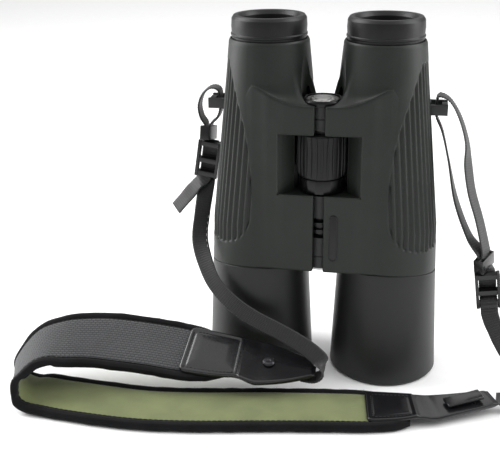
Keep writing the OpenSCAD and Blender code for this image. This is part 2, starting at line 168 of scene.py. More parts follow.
gunmetal = finish("gunmetal", (0.055, 0.055, 0.06), rough=0.28, metal=0.85, grain=0.1, grain_size=3000)
thread = finish("black thread", (0.010, 0.010, 0.011), rough=0.7)
print("finishes:", len(bpy.data.materials))

# %% Mesh helpers
def new_piece(name, verts, faces, *mats):
    """A mesh object at the origin, with its place in its points (metres)."""
    mesh = bpy.data.meshes.new(name)
    mesh.from_pydata([tuple(v) for v in verts], [], faces)
    mesh.validate()
    for m in mats:
        mesh.materials.append(m)
    obj = bpy.data.objects.new(name, mesh)
    bpy.context.collection.objects.link(obj)
    return obj


def outward(obj, smooth=True, angle=None):
    """Normals out, smooth shading, sharp where faces meet at more than angle degrees."""
    bm = bmesh.new()
    bm.from_mesh(obj.data)
    bmesh.ops.remove_doubles(bm, verts=bm.verts, dist=1e-7)
    bmesh.ops.recalc_face_normals(bm, faces=bm.faces)
    for f in bm.faces:
        f.smooth = smooth
    if angle is not None:
        for e in bm.edges:
            if len(e.link_faces) == 2 and e.calc_face_angle(0) > math.radians(angle):
                e.smooth = False
    bm.to_mesh(obj.data)
    bm.free()
    return obj


def grid_faces(rows, cols, closed_cols=True, closed_rows=False, start=0):
    """Quads over a grid of points stored row by row."""
    out = []
    for i in range(rows if closed_rows else rows - 1):
        for j in range(cols if closed_cols else cols - 1):
            a, b = i * cols + j, i * cols + (j + 1) % cols
            c, d = ((i + 1) % rows) * cols + (j + 1) % cols, ((i + 1) % rows) * cols + j
            out.append((start + a, start + b, start + c, start + d))
    return out


def bake(obj):
    """Turns the modifiers of a piece into its plain mesh."""
    depsgraph = bpy.context.evaluated_depsgraph_get()
    mesh = bpy.data.meshes.new_from_object(obj.evaluated_get(depsgraph))
    old = obj.data
    obj.modifiers.clear()
    obj.data = mesh
    bpy.data.meshes.remove(old)
    return obj


def turned(name, profile, center, mat, steps=128, closed=True):
    """A surface turned round a vertical axis, from (radius, height) points in millimetres that form a closed outline."""
    verts = []
    for k in range(steps):
        a = 2 * math.pi * k / steps
        for r, z in profile:
            verts.append(((center[0] + r * math.cos(a)) * MM, (center[1] + r * math.sin(a)) * MM, z * MM))
    n = len(profile)
    faces = []
    for k in range(steps):
        for j in range(n if closed else n - 1):
            a, b = k * n + j, k * n + (j + 1) % n
            c, d = ((k + 1) % steps) * n + (j + 1) % n, ((k + 1) % steps) * n + j
            faces.append((a, b, c, d))
    return outward(new_piece(name, verts, faces, mat), angle=40)


def ridden(obj, body, slot, *nodes):
    """Puts a piece on its body and hides the CAD nodes it stands for. slot is not used."""
    if nodes:
        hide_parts(*nodes)
    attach(obj, body)
    return obj


def rounded(points, radius=0.5, steps=4):
    """A closed (radius, height) outline with every corner turned into a small arc."""
    out = []
    for i, q in enumerate(points):
        p, a, b = np.array(q, float), np.array(points[i - 1], float), np.array(points[(i + 1) % len(points)], float)
        u, v = a - p, b - p
        lu, lv = np.linalg.norm(u), np.linalg.norm(v)
        u, v = u / lu, v / lv
        cosine = float(np.clip(u @ v, -1, 1))
        if cosine < -0.985 or p[0] < 1e-6:
            out.append(tuple(p))
            continue
        cut = min(radius / math.tan(0.5 * math.acos(cosine)), 0.45 * lu, 0.45 * lv)
        start, end = p + u * cut, p + v * cut
        for k in range(steps + 1):
            t = k / steps
            out.append(tuple((1 - t) ** 2 * start + 2 * t * (1 - t) * p + t * t * end))
    return out


def eased(name, node, width, mat, segments=3, angle=35):
    """A copy of a CAD node with its flat faces merged and its edges bevelled, for moulded and cast parts."""
    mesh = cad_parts[node].data.copy()
    mesh.materials.clear()
    mesh.materials.append(mat)
    for layer in list(mesh.uv_layers):
        mesh.uv_layers.remove(layer)
    obj = bpy.data.objects.new(name, mesh)
    bpy.context.collection.objects.link(obj)
    bm = bmesh.new()
    bm.from_mesh(mesh)
    bmesh.ops.remove_doubles(bm, verts=bm.verts, dist=2e-6)
    bmesh.ops.dissolve_limit(bm, angle_limit=math.radians(1.5), verts=bm.verts, edges=bm.edges)
    for f in bm.faces:
        f.material_index = 0
    bm.to_mesh(mesh)
    bm.free()
    bevel = obj.modifiers.new("edges", "BEVEL")
    bevel.width = width * MM
    bevel.segments = segments
    bevel.limit_method = "ANGLE"
    bevel.angle_limit = math.radians(angle)
    bevel.use_clamp_overlap = True
    bake(obj)
    for p in obj.data.polygons:
        p.use_smooth = True
    outward(obj, angle=50)
    return obj

# %% [markdown]
# ## Strap webbing
# The strap is narrow ribbed webbing. It is a flat band that follows a smooth line, so it is made as
# rings across a curve: every second ring is a little fatter, which gives the woven cross ribs real
# relief. Each station of a route is a centre point and the direction across the band, in millimetres.

# %% Smooth routes
def catmull(points, steps):
    """A smooth line through points, steps samples to a span."""
    p = np.array(points, float)
    out = []
    for i in range(len(p) - 1):
        a, b, c, d = p[max(i - 1, 0)], p[i], p[i + 1], p[min(i + 2, len(p) - 1)]
        for k in range(steps):
            t = k / steps
            out.append(0.5 * (2 * b + (c - a) * t + (2 * a - 5 * b + 4 * c - d) * t * t + (3 * b - a - 3 * c + d) * t ** 3))
    out.append(p[-1])
    return np.array(out)


def even(points, gap, *others):
    """The same line with its points gap apart, and any other arrays carried along with it."""
    seg = np.linalg.norm(np.diff(points, axis=0), axis=1)
    run = np.concatenate([[0], np.cumsum(seg)])
    want = np.linspace(0, run[-1], max(2, int(round(run[-1] / gap)) + 1))
    pick = lambda arr: np.stack([np.interp(want, run, arr[:, k]) for k in range(arr.shape[1])], axis=1)
    return [pick(points)] + [pick(o) for o in others] + [want]


def unit_rows(v):
    return v / np.maximum(np.linalg.norm(v, axis=1, keepdims=True), 1e-9)


def band_frame(centers, across):
    """Run, across and normal directions at each point of a band."""
    run = unit_rows(np.gradient(centers, axis=0))
    across = unit_rows(across - run * np.sum(across * run, axis=1, keepdims=True))
    return run, across, np.cross(run, across)


# %% Webbing maker
WEB_W, WEB_T, RIB = 10.0, 1.4, 0.75

def woven(name, color):
    """Webbing: fine ribs across and warp threads along, on the band's own UV in metres. Its colour follows the weave's
    height, with painted shade in the hollows and a painted highlight on the crests.
    """
    mat = bpy.data.materials.new(name)
    mat.use_nodes = True
    nodes, links = mat.node_tree.nodes, mat.node_tree.links
    shader = nodes["Principled BSDF"]
    uv = nodes.new("ShaderNodeUVMap")
    uv.uv_map = "UVMap"
    threads = nodes.new("ShaderNodeTexWave")
    threads.bands_direction = "X"
    threads.inputs["Scale"].default_value = 330
    threads.inputs["Distortion"].default_value = 1.0
    links.new(uv.outputs["UV"], threads.inputs["Vector"])
    ribs = nodes.new("ShaderNodeTexWave")
    ribs.bands_direction = "Y"
    ribs.inputs["Scale"].default_value = 210
    ribs.inputs["Distortion"].default_value = 0.6
    links.new(uv.outputs["UV"], ribs.inputs["Vector"])
    weave_relief_and_painted_shade = nodes.new("ShaderNodeMath")
    weave_relief_and_painted_shade.operation = "MULTIPLY"
    links.new(threads.outputs["Fac"], weave_relief_and_painted_shade.inputs[0])
    links.new(ribs.outputs["Fac"], weave_relief_and_painted_shade.inputs[1])
    # Painted shade and highlight: the same weave height that drives the bump darkens the colour in the hollows and
    # lightens it on the crests.
    ramp = nodes.new("ShaderNodeValToRGB")
    ramp.color_ramp.elements[0].color = (*[c * 0.45 for c in color], 1)
    ramp.color_ramp.elements[1].color = (*[c * 1.7 for c in color], 1)
    links.new(weave_relief_and_painted_shade.outputs[0], ramp.inputs["Fac"])
    links.new(ramp.outputs["Color"], shader.inputs["Base Color"])
    bump = nodes.new("ShaderNodeBump")
    bump.inputs["Strength"].default_value = 0.5
    bump.inputs["Distance"].default_value = 0.0003
    links.new(weave_relief_and_painted_shade.outputs[0], bump.inputs["Height"])
    links.new(bump.outputs["Normal"], shader.inputs["Normal"])
    shader.inputs["Roughness"].default_value = 0.5
    shader.inputs["Sheen Weight"].default_value = 0.15
    return mat


webbing_mat = woven("black webbing", (0.0085, 0.0085, 0.009))

def webbing(name, route):
    """A band of webbing along a route of (centre, across) stations; returns the piece, its path and its length in metres."""
    centers = catmull([s[0] for s in route], 14)
    across = catmull([s[1] for s in route], 14)
    centers, across, run_at = even(centers, RIB, across)
    run, across, normal = band_frame(centers, across)
    h, t = WEB_W / 2, WEB_T / 2
    section = [(-h, 0), (-h + 0.25, 0.75), (-h + 0.8, 1), (-h / 2, 1), (0, 1), (h / 2, 1), (h - 0.8, 1), (h - 0.25, 0.75),
               (h, 0), (h - 0.25, -0.75), (h - 0.8, -1), (h / 2, -1), (0, -1), (-h / 2, -1), (-h + 0.8, -1), (-h + 0.25, -0.75)]
    verts = []
    for i in range(len(centers)):
        swell = 1.0 if i % 2 else 0.55
        for u, v in section:
            verts.append((centers[i] + across[i] * u + normal[i] * v * t * swell) * MM)
    n = len(section)
    faces = grid_faces(len(centers), n)
    faces.append(tuple(range(n - 1, -1, -1)))
    faces.append(tuple(range((len(centers) - 1) * n, len(centers) * n)))
    obj = new_piece(name, verts, faces, webbing_mat)
    layer = obj.data.uv_layers.new(name="UVMap")
    for poly in obj.data.polygons:
        for li in poly.loop_indices:
            vi = obj.data.loops[li].vertex_index
            i, j = divmod(vi, n)
            layer.data[li].uv = (section[j][0] * MM, run_at[i] * MM)
        poly.use_smooth = True
    outward(obj, angle=60)
    path = centers[::12] * MM
    path = np.vstack([path, centers[-1:] * MM])
    info = dict(mid=centers, across=across, normal=normal, half=np.full(len(centers), WEB_W / 2), run_at=run_at)
    return obj, [tuple(float(x) for x in p) for p in path], float(run_at[-1] * MM), info


# %% Strap routes
LOOP_LEFT = [((-70.2, 5, 145.5), (0, 1, -0.2)), ((-69.6, 5, 150.6), (0, 1, 0)), ((-65.6, 5, 154.5), (0, 1, 0)), ((-63.4, 5, 160), (0, 1, 0)),
             ((-63.2, 5, 167), (0, 1, 0)), ((-64.4, 5, 172), (0, 1, 0)), ((-69, 5, 173), (0, 1, 0)),
             ((-74, 5, 169), (0, 1, 0)), ((-76.5, 5, 162), (0, 1, 0)), ((-75.5, 5, 155), (0, 1, 0)), ((-72.8, 5, 150.4), (0, 1, 0)), ((-73.1, 5.2, 145.5), (0, 1, -0.2))]
STRAP_LEFT = [((-73.6, 6.6, 114.4), (1, 0, 0.1)), ((-74.4, 2.6, 107), (1, 0.3, 0)), ((-75, -5, 95), (1, 0.6, 0)),
              ((-74.8, -13, 81), (1, 0.6, 0.3)), ((-69, -23, 69), (0.7, 0.3, 0.7)), ((-62, -30, 59.5), (0.6, 0.1, 0.8)),
              ((-50, -37, 51), (0.5, 0.3, 1)), ((-36, -41, 44), (0.5, 0.3, 1)), ((-20, -44, 38), (0.4, 0.3, 1)),
              ((-6, -47, 32), (0.5, 0.4, 1)), ((4, -50, 26), (0.8, 0.4, 0.7)), ((6.6, -51, 21), (0.1, 1, 0.3)),
              ((6.4, -51.5, 16.5), (0, 1, 0.2)), ((1.5, -51.5, 13.4), (0, 1, 0.2)), ((-6, -51.5, 14), (0, 1, 0.2))]
TAIL_LEFT = [((-74.8, 4.6, 118), (1, 0, -0.1)), ((-76.3, 4.2, 115), (1, 0, 0.3)), ((-79.5, 3, 112), (1, 0, 0.6)), ((-82, 2, 109), (1, 0, 0.8)), ((-87, 1, 103), (1, 0, 0.9)), ((-93, 0, 96), (1, 0, 0.9))]
LOOP_RIGHT = [((94, -17, 81.5), (0.5, 0.85, 0.2)), ((93.4, -17, 85.6), (0.5, 1, 0.2)), ((86, -12, 94), (0.3, 1, 0)), ((77.6, -6, 113), (0.2, 1, 0)),
              ((72, 0, 135), (0, 1, 0)), ((67.6, 4, 151), (0, 1, 0)), ((63.6, 5, 160), (0, 1, 0)),
              ((63.2, 5, 167), (0, 1, 0)), ((64.6, 5, 172), (0, 1, 0)), ((71, 3, 169.5), (0, 1, 0)),
              ((77, 1, 160), (0.1, 1, 0)), ((81.5, -2, 147), (0.2, 1, 0)), ((83, -4, 134), (0.5, 1, 0)),
              ((86, -8, 119), (0.5, 1, 0)), ((91.5, -12, 103), (0.5, 1, 0)), ((96, -16, 86.6), (0.5, 1, 0.2)), ((96.6, -18.5, 81.5), (0.5, 0.85, 0.2))]
STRAP_RIGHT = [((100.6, -22, 50.6), (1, 0, 0.2)), ((102.6, -23.5, 45), (1, 0, 0.3)), ((105, -24.5, 40.6), (1, 0.1, 0.4)),
               ((108.4, -25.6, 34), (0.9, 0.2, 0.5)), ((114, -26.5, 25), (0.8, 0.3, 0.6)), ((122, -27, 15), (0.4, 0.3, 1)),
               ((132, -28, 8), (0.1, 0.1, 1)), ((142, -31, 6), (0, 0, 1)), ((146, -38, 6), (0, 0, 1)), ((141, -45, 6), (0, 0, 1)),
               ((129, -48, 6), (0, 0.2, 1)), ((118, -47, 6), (0, 0.8, 0.8)), ((106.6, -46, 7.2), (0, 1, 0.1))]
# Runs inside the two ladder-locks. The left one stays behind the bars and meets the strap below them;
# the right one comes through the lower slot and over the front of the last bar.
IN_LOCK_LEFT = [((-70.6, 8.1, 139.6), (1, 0, -0.16)), ((-71.6, 8.5, 134), (1, 0, -0.16)), ((-73, 8.5, 124), (1, 0, -0.16)),
                ((-74.2, 8, 116.4), (1, 0, -0.1)), ((-73.8, 7, 114.8), (1, 0, 0)), ((-73.8, 5.8, 113), (1, 0.1, 0.1))]
IN_LOCK_RIGHT = [((97, -17.8, 78.4), (0.5, 0.85, 0.2)), ((97.4, -18.4, 75), (0.9, 0.3, 0.16)), ((97.8, -18, 72), (1, 0, 0.14)),
                 ((98.3, -17.5, 69), (1, 0, 0.14)), ((99, -16.9, 63), (1, 0, 0.14)), ((99.3, -16.8, 61.4), (1, 0, 0.14)),
                 ((99.7, -19.3, 58.3), (1, 0, 0.14)), ((100.2, -21.8, 55), (1, 0, 0.14)), ((100.6, -21.5, 52.3), (1, 0, 0.16)),
                 ((101, -22.3, 49.6), (1, 0, 0.2))]
webs = {}
for name, route in (("webbing_in_lock_left", IN_LOCK_LEFT), ("webbing_in_lock_right", IN_LOCK_RIGHT),
                    ("lug_loop_left", LOOP_LEFT), ("strap_webbing_left", STRAP_LEFT), ("strap_tail_left", TAIL_LEFT),
                    ("lug_loop_right", LOOP_RIGHT), ("strap_webbing_right", STRAP_RIGHT)):
    webs[name] = webbing(name, route)
    print(name, "length %.0f mm" % (webs[name][2] / MM))

# %% [markdown]
# ## Buckles and keepers
# The webbing runs through moulded plastic: a small two-slot slider at each lug and a ladder-lock
# buckle below it. Their outlines are already right in the CAD, so each is a merged copy with its
# edges eased, which is what makes moulded plastic catch the light.

# %% Sliders and ladder-locks
for side_name, body in (("left", LEFT), ("right", RIGHT)):
    for kind, width in (("slider", 0.5), ("lock", 0.55)):
        node = kind + "_" + side_name[0]
        piece = eased("strap_" + kind + "_" + side_name, node, width, buckle_plastic)
        ridden(piece, body, "buckle", node)

# %% [markdown]
# ## Leather tabs
# Each end of the neck pad is a folded leather tab that narrows to the webbing. It is a lofted band
# with a raised, stitched patch over the pad's end. The stitches are a Geometry Nodes tree that sets
# small capsules along a line, because a seam is the same stitch repeated at a steady pitch.

# %% Stitch tree
def tree_input(tree, name, kind, value=None):
    socket = tree.interface.new_socket(name=name, in_out="INPUT", socket_type=kind)
    if value is not None:
        socket.default_value = value
    return socket.identifier


def stitch_tree():
    tree = bpy.data.node_groups.new("stitches along lines", "GeometryNodeTree")
    ids = {"Geometry": tree_input(tree, "Geometry", "NodeSocketGeometry")}
    tree.interface.new_socket(name="Geometry", in_out="OUTPUT", socket_type="NodeSocketGeometry")
    ids["Pitch"] = tree_input(tree, "Pitch", "NodeSocketFloat", 0.0034)
    ids["Stitch length"] = tree_input(tree, "Stitch length", "NodeSocketFloat", 0.0026)
    ids["Thread radius"] = tree_input(tree, "Thread radius", "NodeSocketFloat", 0.0003)
    ids["Thread"] = tree_input(tree, "Thread", "NodeSocketMaterial")
    n, link = tree.nodes, tree.links.new
    start, end = n.new("NodeGroupInput"), n.new("NodeGroupOutput")
    curve = n.new("GeometryNodeMeshToCurve")
    even_out = n.new("GeometryNodeResampleCurve")
    even_out.mode = "LENGTH"
    capsule = n.new("GeometryNodeMeshUVSphere")
    capsule.inputs["Segments"].default_value = 6
    capsule.inputs["Rings"].default_value = 5
    capsule.inputs["Radius"].default_value = 1
    shape = n.new("ShaderNodeCombineXYZ")
    half = n.new("ShaderNodeMath")
    half.operation = "MULTIPLY"
    half.inputs[1].default_value = 0.5
    tangent = n.new("GeometryNodeInputTangent")
    turn = n.new("FunctionNodeAlignRotationToVector")
    turn.axis = "Z"
    place = n.new("GeometryNodeInstanceOnPoints")
    real = n.new("GeometryNodeRealizeInstances")
    paint = n.new("GeometryNodeSetMaterial")
    link(start.outputs["Geometry"], curve.inputs["Mesh"])
    link(curve.outputs["Curve"], even_out.inputs["Curve"])
    link(start.outputs["Pitch"], even_out.inputs["Length"])
    link(even_out.outputs["Curve"], place.inputs["Points"])
    link(capsule.outputs["Mesh"], place.inputs["Instance"])
    link(tangent.outputs["Tangent"], turn.inputs["Vector"])
    link(turn.outputs["Rotation"], place.inputs["Rotation"])
    link(start.outputs["Stitch length"], half.inputs[0])
    link(start.outputs["Thread radius"], shape.inputs["X"])
    link(start.outputs["Thread radius"], shape.inputs["Y"])
    link(half.outputs[0], shape.inputs["Z"])
    link(shape.outputs["Vector"], place.inputs["Scale"])
    link(place.outputs["Instances"], real.inputs["Geometry"])
    link(real.outputs["Geometry"], paint.inputs["Geometry"])
    link(start.outputs["Thread"], paint.inputs["Material"])
    link(paint.outputs["Geometry"], end.inputs["Geometry"])
    return tree, ids


STITCH_TREE, STITCH_IDS = stitch_tree()

def stitches(name, lines, mat, pitch=3.4, length=2.6, radius=0.3):
    """Stitches along a few lines of points (millimetres), as one plain mesh."""
    verts, edges = [], []
    for line in lines:
        edges += [(len(verts) + i, len(verts) + i + 1) for i in range(len(line) - 1)]
        verts += [tuple(np.array(p) * MM) for p in line]
    mesh = bpy.data.meshes.new(name)
    mesh.from_pydata(verts, edges, [])
    obj = bpy.data.objects.new(name, mesh)
    bpy.context.collection.objects.link(obj)
    mod = obj.modifiers.new("stitches", "NODES")
    mod.node_group = STITCH_TREE
    mod[STITCH_IDS["Pitch"]] = pitch * MM
    mod[STITCH_IDS["Stitch length"]] = length * MM
    mod[STITCH_IDS["Thread radius"]] = radius * MM
    mod[STITCH_IDS["Thread"]] = mat
    bake(obj)
    for p in obj.data.polygons:
        p.use_smooth = True
    print(name, "faces", len(obj.data.polygons))
    return obj


# %% Band loft
def smoothstep(t):
    t = np.clip(t, 0, 1)
    return t * t * (3 - 2 * t)


def band(name, route, section, mats, slots, gap=1.2, shape=None, uv_scale=MM):
    """Lofts a flat section along a route of (near edge, far edge) stations in millimetres.
    section is a list of (u, v) with u from -1 to 1 across and v the height in millimetres; shape(s, u, v) may change v
    and u where s is the distance run; slots gives the material of each strip of the section."""
    near = catmull([s[0] for s in route], 16)
    far = catmull([s[1] for s in route], 16)
    mid, near, far, run_at = even((near + far) / 2, gap, near, far)
    half = np.linalg.norm(far - near, axis=1) / 2
    run, across, normal = band_frame(mid, far - near)
    n = len(section)
    verts, total = [], run_at[-1]
    for i in range(len(mid)):
        for u, v in section:
            uu, vv = shape(run_at[i], total, u, v, half[i]) if shape else (u, v)
            verts.append((mid[i] + across[i] * uu * half[i] + normal[i] * vv) * MM)
    faces = grid_faces(len(mid), n)
    faces.append(tuple(range(n - 1, -1, -1)))
    faces.append(tuple(range((len(mid) - 1) * n, len(mid) * n)))
    obj = new_piece(name, verts, faces, *mats)
    layer = obj.data.uv_layers.new(name="UVMap")
    for poly in obj.data.polygons:
        poly.use_smooth = True
        if len(poly.vertices) == 4 and poly.index < (len(mid) - 1) * n:
            poly.material_index = slots[poly.index % n]
        for li in poly.loop_indices:
            i, j = divmod(obj.data.loops[li].vertex_index, n)
            layer.data[li].uv = (section[j][0] * 20 * uv_scale, run_at[i] * uv_scale)
    return obj, dict(mid=mid, across=across, normal=normal, half=half, run_at=run_at)


def on_band(info, at, u, v):
    """A point on a lofted band, at a distance along it, u across and v along its normal."""
    pick = lambda arr: np.array([np.interp(at, info["run_at"], arr[:, k]) for k in range(3)])
    return pick(info["mid"]) + pick(info["across"]) * u * np.interp(at, info["run_at"], info["half"]) + pick(info["normal"]) * v


# %% Tab routes
TAB_LEFT = [((-72.5, -69, 15), (-80.5, -34, 32)), ((-54, -69, 14), (-62, -35, 30)), ((-40, -68, 14), (-47, -36, 28)),
            ((-25, -65, 14), (-28, -37, 25)), ((-11, -61, 15), (-12, -40, 22)), ((2, -56, 17), (3, -46, 20))]
TAB_RIGHT = [((34.6, -84, 3), (31.6, -47, 3)), ((53, -79, 3), (49, -47.5, 4)), ((67, -73, 4), (64, -48, 5)),
             ((81, -66, 5), (78, -46, 6)), ((95, -59, 6), (92, -43, 7)), ((106, -53, 7), (104, -39, 7))]

def tab_section(t, count=26):
    """A flat section with round edges, t millimetres thick, upper side first."""
    out = [(-1 + 0.02 * k, t / 2 * math.sin(math.pi / 2 * k / 3)) for k in range(4)]
    out += [(-0.94 + 1.88 * k / count, t / 2) for k in range(1, count)]
    out += [(1 - 0.02 * (3 - k), t / 2 * math.sin(math.pi / 2 * (3 - k) / 3)) for k in range(4)]
    out += [(1 - 0.02 * k, -t / 2 * math.sin(math.pi / 2 * k / 3)) for k in range(1, 4)]
    out += [(0.94 - 1.88 * k / count, -t / 2) for k in range(1, count)]
    out += [(-1 + 0.02 * (3 - k), -t / 2 * math.sin(math.pi / 2 * (3 - k) / 3)) for k in range(3)]
    return out


def tab_maker(patch_end, top, reach):
    """A puffy patch with rounded corners lies on the pad's end, inside a stitched groove; past it the leather drops to a
    plain tongue. top is the sign of the upper side and reach the height of the pad under the patch."""
    def shape(at, total, u, v, half):
        on_pad = 1 - float(smoothstep((at - patch_end + 3) / 14))
        corner = 4.0 - math.sqrt(max(0.0, 16.0 - max(0.0, 4.0 - at) ** 2))
        wide = (0.83 * half - corner) / half * on_pad + (1 - on_pad)
        side = 1 if v * top > 0 else 0
        edge = min(at, patch_end - at, (1 - abs(u)) * half * 0.83)
        lift = 0.75 * float(smoothstep(edge / 1.0)) * side * on_pad
        groove = 0.55 * math.exp(-((edge - 3.3) / 0.75) ** 2) * side if edge > 0 else 0.0
        puff = 0.6 * float(smoothstep((edge - 3.6) / 6)) * side
        thin = 0.62 + 0.38 * (1 - on_pad)
        tip = float(smoothstep((total - at) / 3.0)) * 0.5 + 0.5
        return u * wide, v * thin * tip + top * (lift - groove + puff + reach * on_pad)
    return shape


# %% Left tab
tab_left, tab_left_info = band("leather_tab_left", TAB_LEFT, tab_section(3.2), [leather], [0] * 200, gap=0.7,
                               shape=tab_maker(35, 1, 2.9))
outward(tab_left, angle=60)
ridden(tab_left, LEFT, "leather", "tab_l")
def patch_seam(info, last, height):
    """Two long sides and the pad end of the patch, in the groove."""
    u = 0.83 - 3.3 / float(np.interp(10, info["run_at"], info["half"]))
    line = [on_band(info, s, -u, height) for s in np.linspace(last, 5, 40)]
    line += [on_band(info, 3.4, w, height) for w in np.linspace(-u + 0.07, u - 0.07, 26)]
    return [line + [on_band(info, s, u, height) for s in np.linspace(5, last, 40)]]


tab_left_seam = ridden(stitches("leather_tab_left_stitches", patch_seam(tab_left_info, 31, 4.25), thread, pitch=2.2, length=1.7, radius=0.26), LEFT, "leather")

# %% Right tab and its keeper
tab_right, tab_right_info = band("leather_tab_right", TAB_RIGHT, tab_section(2.6), [leather], [0] * 200, gap=0.7,
                                 shape=tab_maker(29, 1, 2.6))
outward(tab_right, angle=60)
ridden(tab_right, LEFT, "leather", "tab_r")
tab_right_seam = ridden(stitches("leather_tab_right_stitches", patch_seam(tab_right_info, 25, 3.75), thread, pitch=2.2, length=1.7, radius=0.26), LEFT, "leather")
keeper = ridden(eased("leather_keeper", "tab_keeper", 0.6, leather), LEFT, "leather", "tab_keeper")

# %% Rivet
rivet = turned("tab_rivet", rounded([(0, 0), (3.6, 0), (3.6, 0.45), (2.9, 1.25), (1.2, 1.35), (1.0, 1.05), (0, 1.0)], 0.25), (0, 0), gunmetal, steps=48)
low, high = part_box("rivet_l")
rivet.data.transform(Matrix.Translation(Vector((-0.0255, -0.051, 0.0195))) @ Matrix.Rotation(math.radians(21), 4, "X")
                     @ Matrix.Translation(Vector((0, 0, 0.0023))))
ridden(rivet, LEFT, "steel", "rivet_l")
print("rivet near", [round(v, 4) for v in (low + high) / 2])

# %% Bar stitches on the left webbing
web_info = webs["strap_webbing_left"][3]
tack = [[on_band(web_info, s, u, w) for s in np.linspace(24, 44, 12)] for u, w in ((0.8, 0.85), (0.8, -0.85))]
tack_left = ridden(stitches("webbing_bar_stitches", tack, light_thread, pitch=3.2, length=1.8, radius=0.22), LEFT, "webbing")

def strap(name, body=None, nodes=()):
    obj, path, length, info = webs[name]
    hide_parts(*nodes)
    if body:
        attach(obj, body)
    return obj


loop_left = ridden(webs["lug_loop_left"][0], LEFT, "webbing", "loop_l")
tail_left = ridden(webs["strap_tail_left"][0], LEFT, "webbing", "tail_l")
in_left = ridden(webs["webbing_in_lock_left"][0], LEFT, "webbing")
in_right = ridden(webs["webbing_in_lock_right"][0], RIGHT, "webbing")
strap("strap_webbing_left", body=LEFT, nodes=["webbing_l"])
strap("lug_loop_right", body=RIGHT, nodes=["loop_r"])
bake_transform(webs["strap_webbing_right"][0])
strap("strap_webbing_right", nodes=["webbing_r", "webbing_floor"])

# %% [markdown]
# ## Neck pad
# The pad is a long flat cushion folded over on itself: a woven mesh face outside, an olive lining
# inside, and a fuzzy cloth binding sewn round both edges. It is one lofted band whose section swells
# at the binding and dips at the seam, which keeps the three cloths in one closed piece.

# %% Pad cloths
def mesh_cloth(name, base, line_color):
    """A dark woven face with rows of short dashes, on the band's UV in metres."""
    mat = bpy.data.materials.new(name)
    mat.use_nodes = True
    nodes, links = mat.node_tree.nodes, mat.node_tree.links
    shader = nodes["Principled BSDF"]
    uv = nodes.new("ShaderNodeUVMap")
    uv.uv_map = "UVMap"
    spread = nodes.new("ShaderNodeMapping")
    spread.inputs["Rotation"].default_value = (0, 0, math.radians(90))
    links.new(uv.outputs["UV"], spread.inputs["Vector"])
    brick = nodes.new("ShaderNodeTexBrick")
    brick.offset = 0.5
    brick.inputs["Scale"].default_value = 1
    brick.inputs["Brick Width"].default_value = 0.0024
    brick.inputs["Row Height"].default_value = 0.0016
    brick.inputs["Mortar Size"].default_value = 0.00036
    brick.inputs["Mortar Smooth"].default_value = 0.7
    brick.inputs["Color1"].default_value = (*base, 1)
    brick.inputs["Color2"].default_value = (*[c * 0.75 for c in base], 1)
    brick.inputs["Mortar"].default_value = (*line_color, 1)
    links.new(spread.outputs["Vector"], brick.inputs["Vector"])
    links.new(brick.outputs["Color"], shader.inputs["Base Color"])
    bump = nodes.new("ShaderNodeBump")
    bump.invert = True
    bump.inputs["Strength"].default_value = 0.8
    bump.inputs["Distance"].default_value = 0.0005
    links.new(brick.outputs["Fac"], bump.inputs["Height"])
    links.new(bump.outputs["Normal"], shader.inputs["Normal"])
    shader.inputs["Roughness"].default_value = 0.75
    shader.inputs["Sheen Weight"].default_value = 0.2
    return mat


pad_face = mesh_cloth("pad mesh face", (0.046, 0.048, 0.052), (0.005, 0.005, 0.006))
pad_lining = finish("olive lining", (0.130, 0.150, 0.060), rough=0.9, spread=0.12, grain=0.9, grain_size=1500, sheen=0.3)

# %% Pad route and section
PAD = [((-46, -60, 14), (-50.5, -43, 23)), ((-56, -66, 14), (-63, -37.5, 29)), ((-73, -69, 15), (-81, -34, 32)), ((-94, -69, 17), (-103, -35, 35)), ((-117, -70, 19), (-129, -37, 37)),
       ((-130, -73, 21), (-144, -40, 37)), ((-140, -78, 23), (-156, -44, 36)), ((-151, -84, 26), (-168, -48, 31)),
       ((-160, -90, 24), (-177, -54, 21)), ((-166, -96, 15), (-181, -59, 12)), ((-160, -98, 5), (-174, -60, 5)),
       ((-145, -99, 3), (-157, -61, 3)), ((-119, -102, 3), (-128, -63, 3)), ((-92, -103, 3), (-98, -64, 3)),
       ((-62, -100, 3), (-68, -61, 3)), ((-22, -93, 3), (-27, -54, 3)), ((14, -87, 3), (9, -49, 3)), ((34, -84, 3), (31, -47, 3)), ((48, -80.5, 3), (44.5, -49, 3.2)), ((58, -75, 3), (56, -51.5, 3.4))]
BINDING, PAD_HALF = 4.8, 20.0

def pad_section():
    """Half the outline: out along the lining side, then back along the mesh side. Each entry is (u, v, cloth)."""
    top = []
    edge = 1 - BINDING / PAD_HALF
    for k in range(9):
        a = math.pi / 2 * k / 8
        top.append((-1 + 0.055 * (1 - math.cos(a)), 2.45 * math.sin(a), 0))
    top += [(-0.90, 2.75, 0), (-0.86, 2.75, 0), (-0.82, 2.55, 0), (-0.79, 2.2, 0), (-edge - 0.005, 1.75, 0), (-edge + 0.02, 1.95, 1)]
    top += [(u, 2.1 + 0.45 * (1 - (u / 0.74) ** 4), 1) for u in np.linspace(-0.71, 0.71, 29)]
    top += [(-u, v, c) for u, v, c in reversed(top[:15])]
    bottom = [(-u, -v, 2 if c == 1 else 0) for u, v, c in top[1:-1]]
    return top + bottom


rows = pad_section()
cloth = [max(rows[j][2], rows[(j + 1) % len(rows)][2]) if min(rows[j][2], rows[(j + 1) % len(rows)][2]) > 0 or
         abs(rows[j][0]) < 0.765 and abs(rows[(j + 1) % len(rows)][0]) < 0.765 else 0 for j in range(len(rows))]
noise = random.Random(7)
wobble = [noise.uniform(-1, 1) for _ in range(400)]

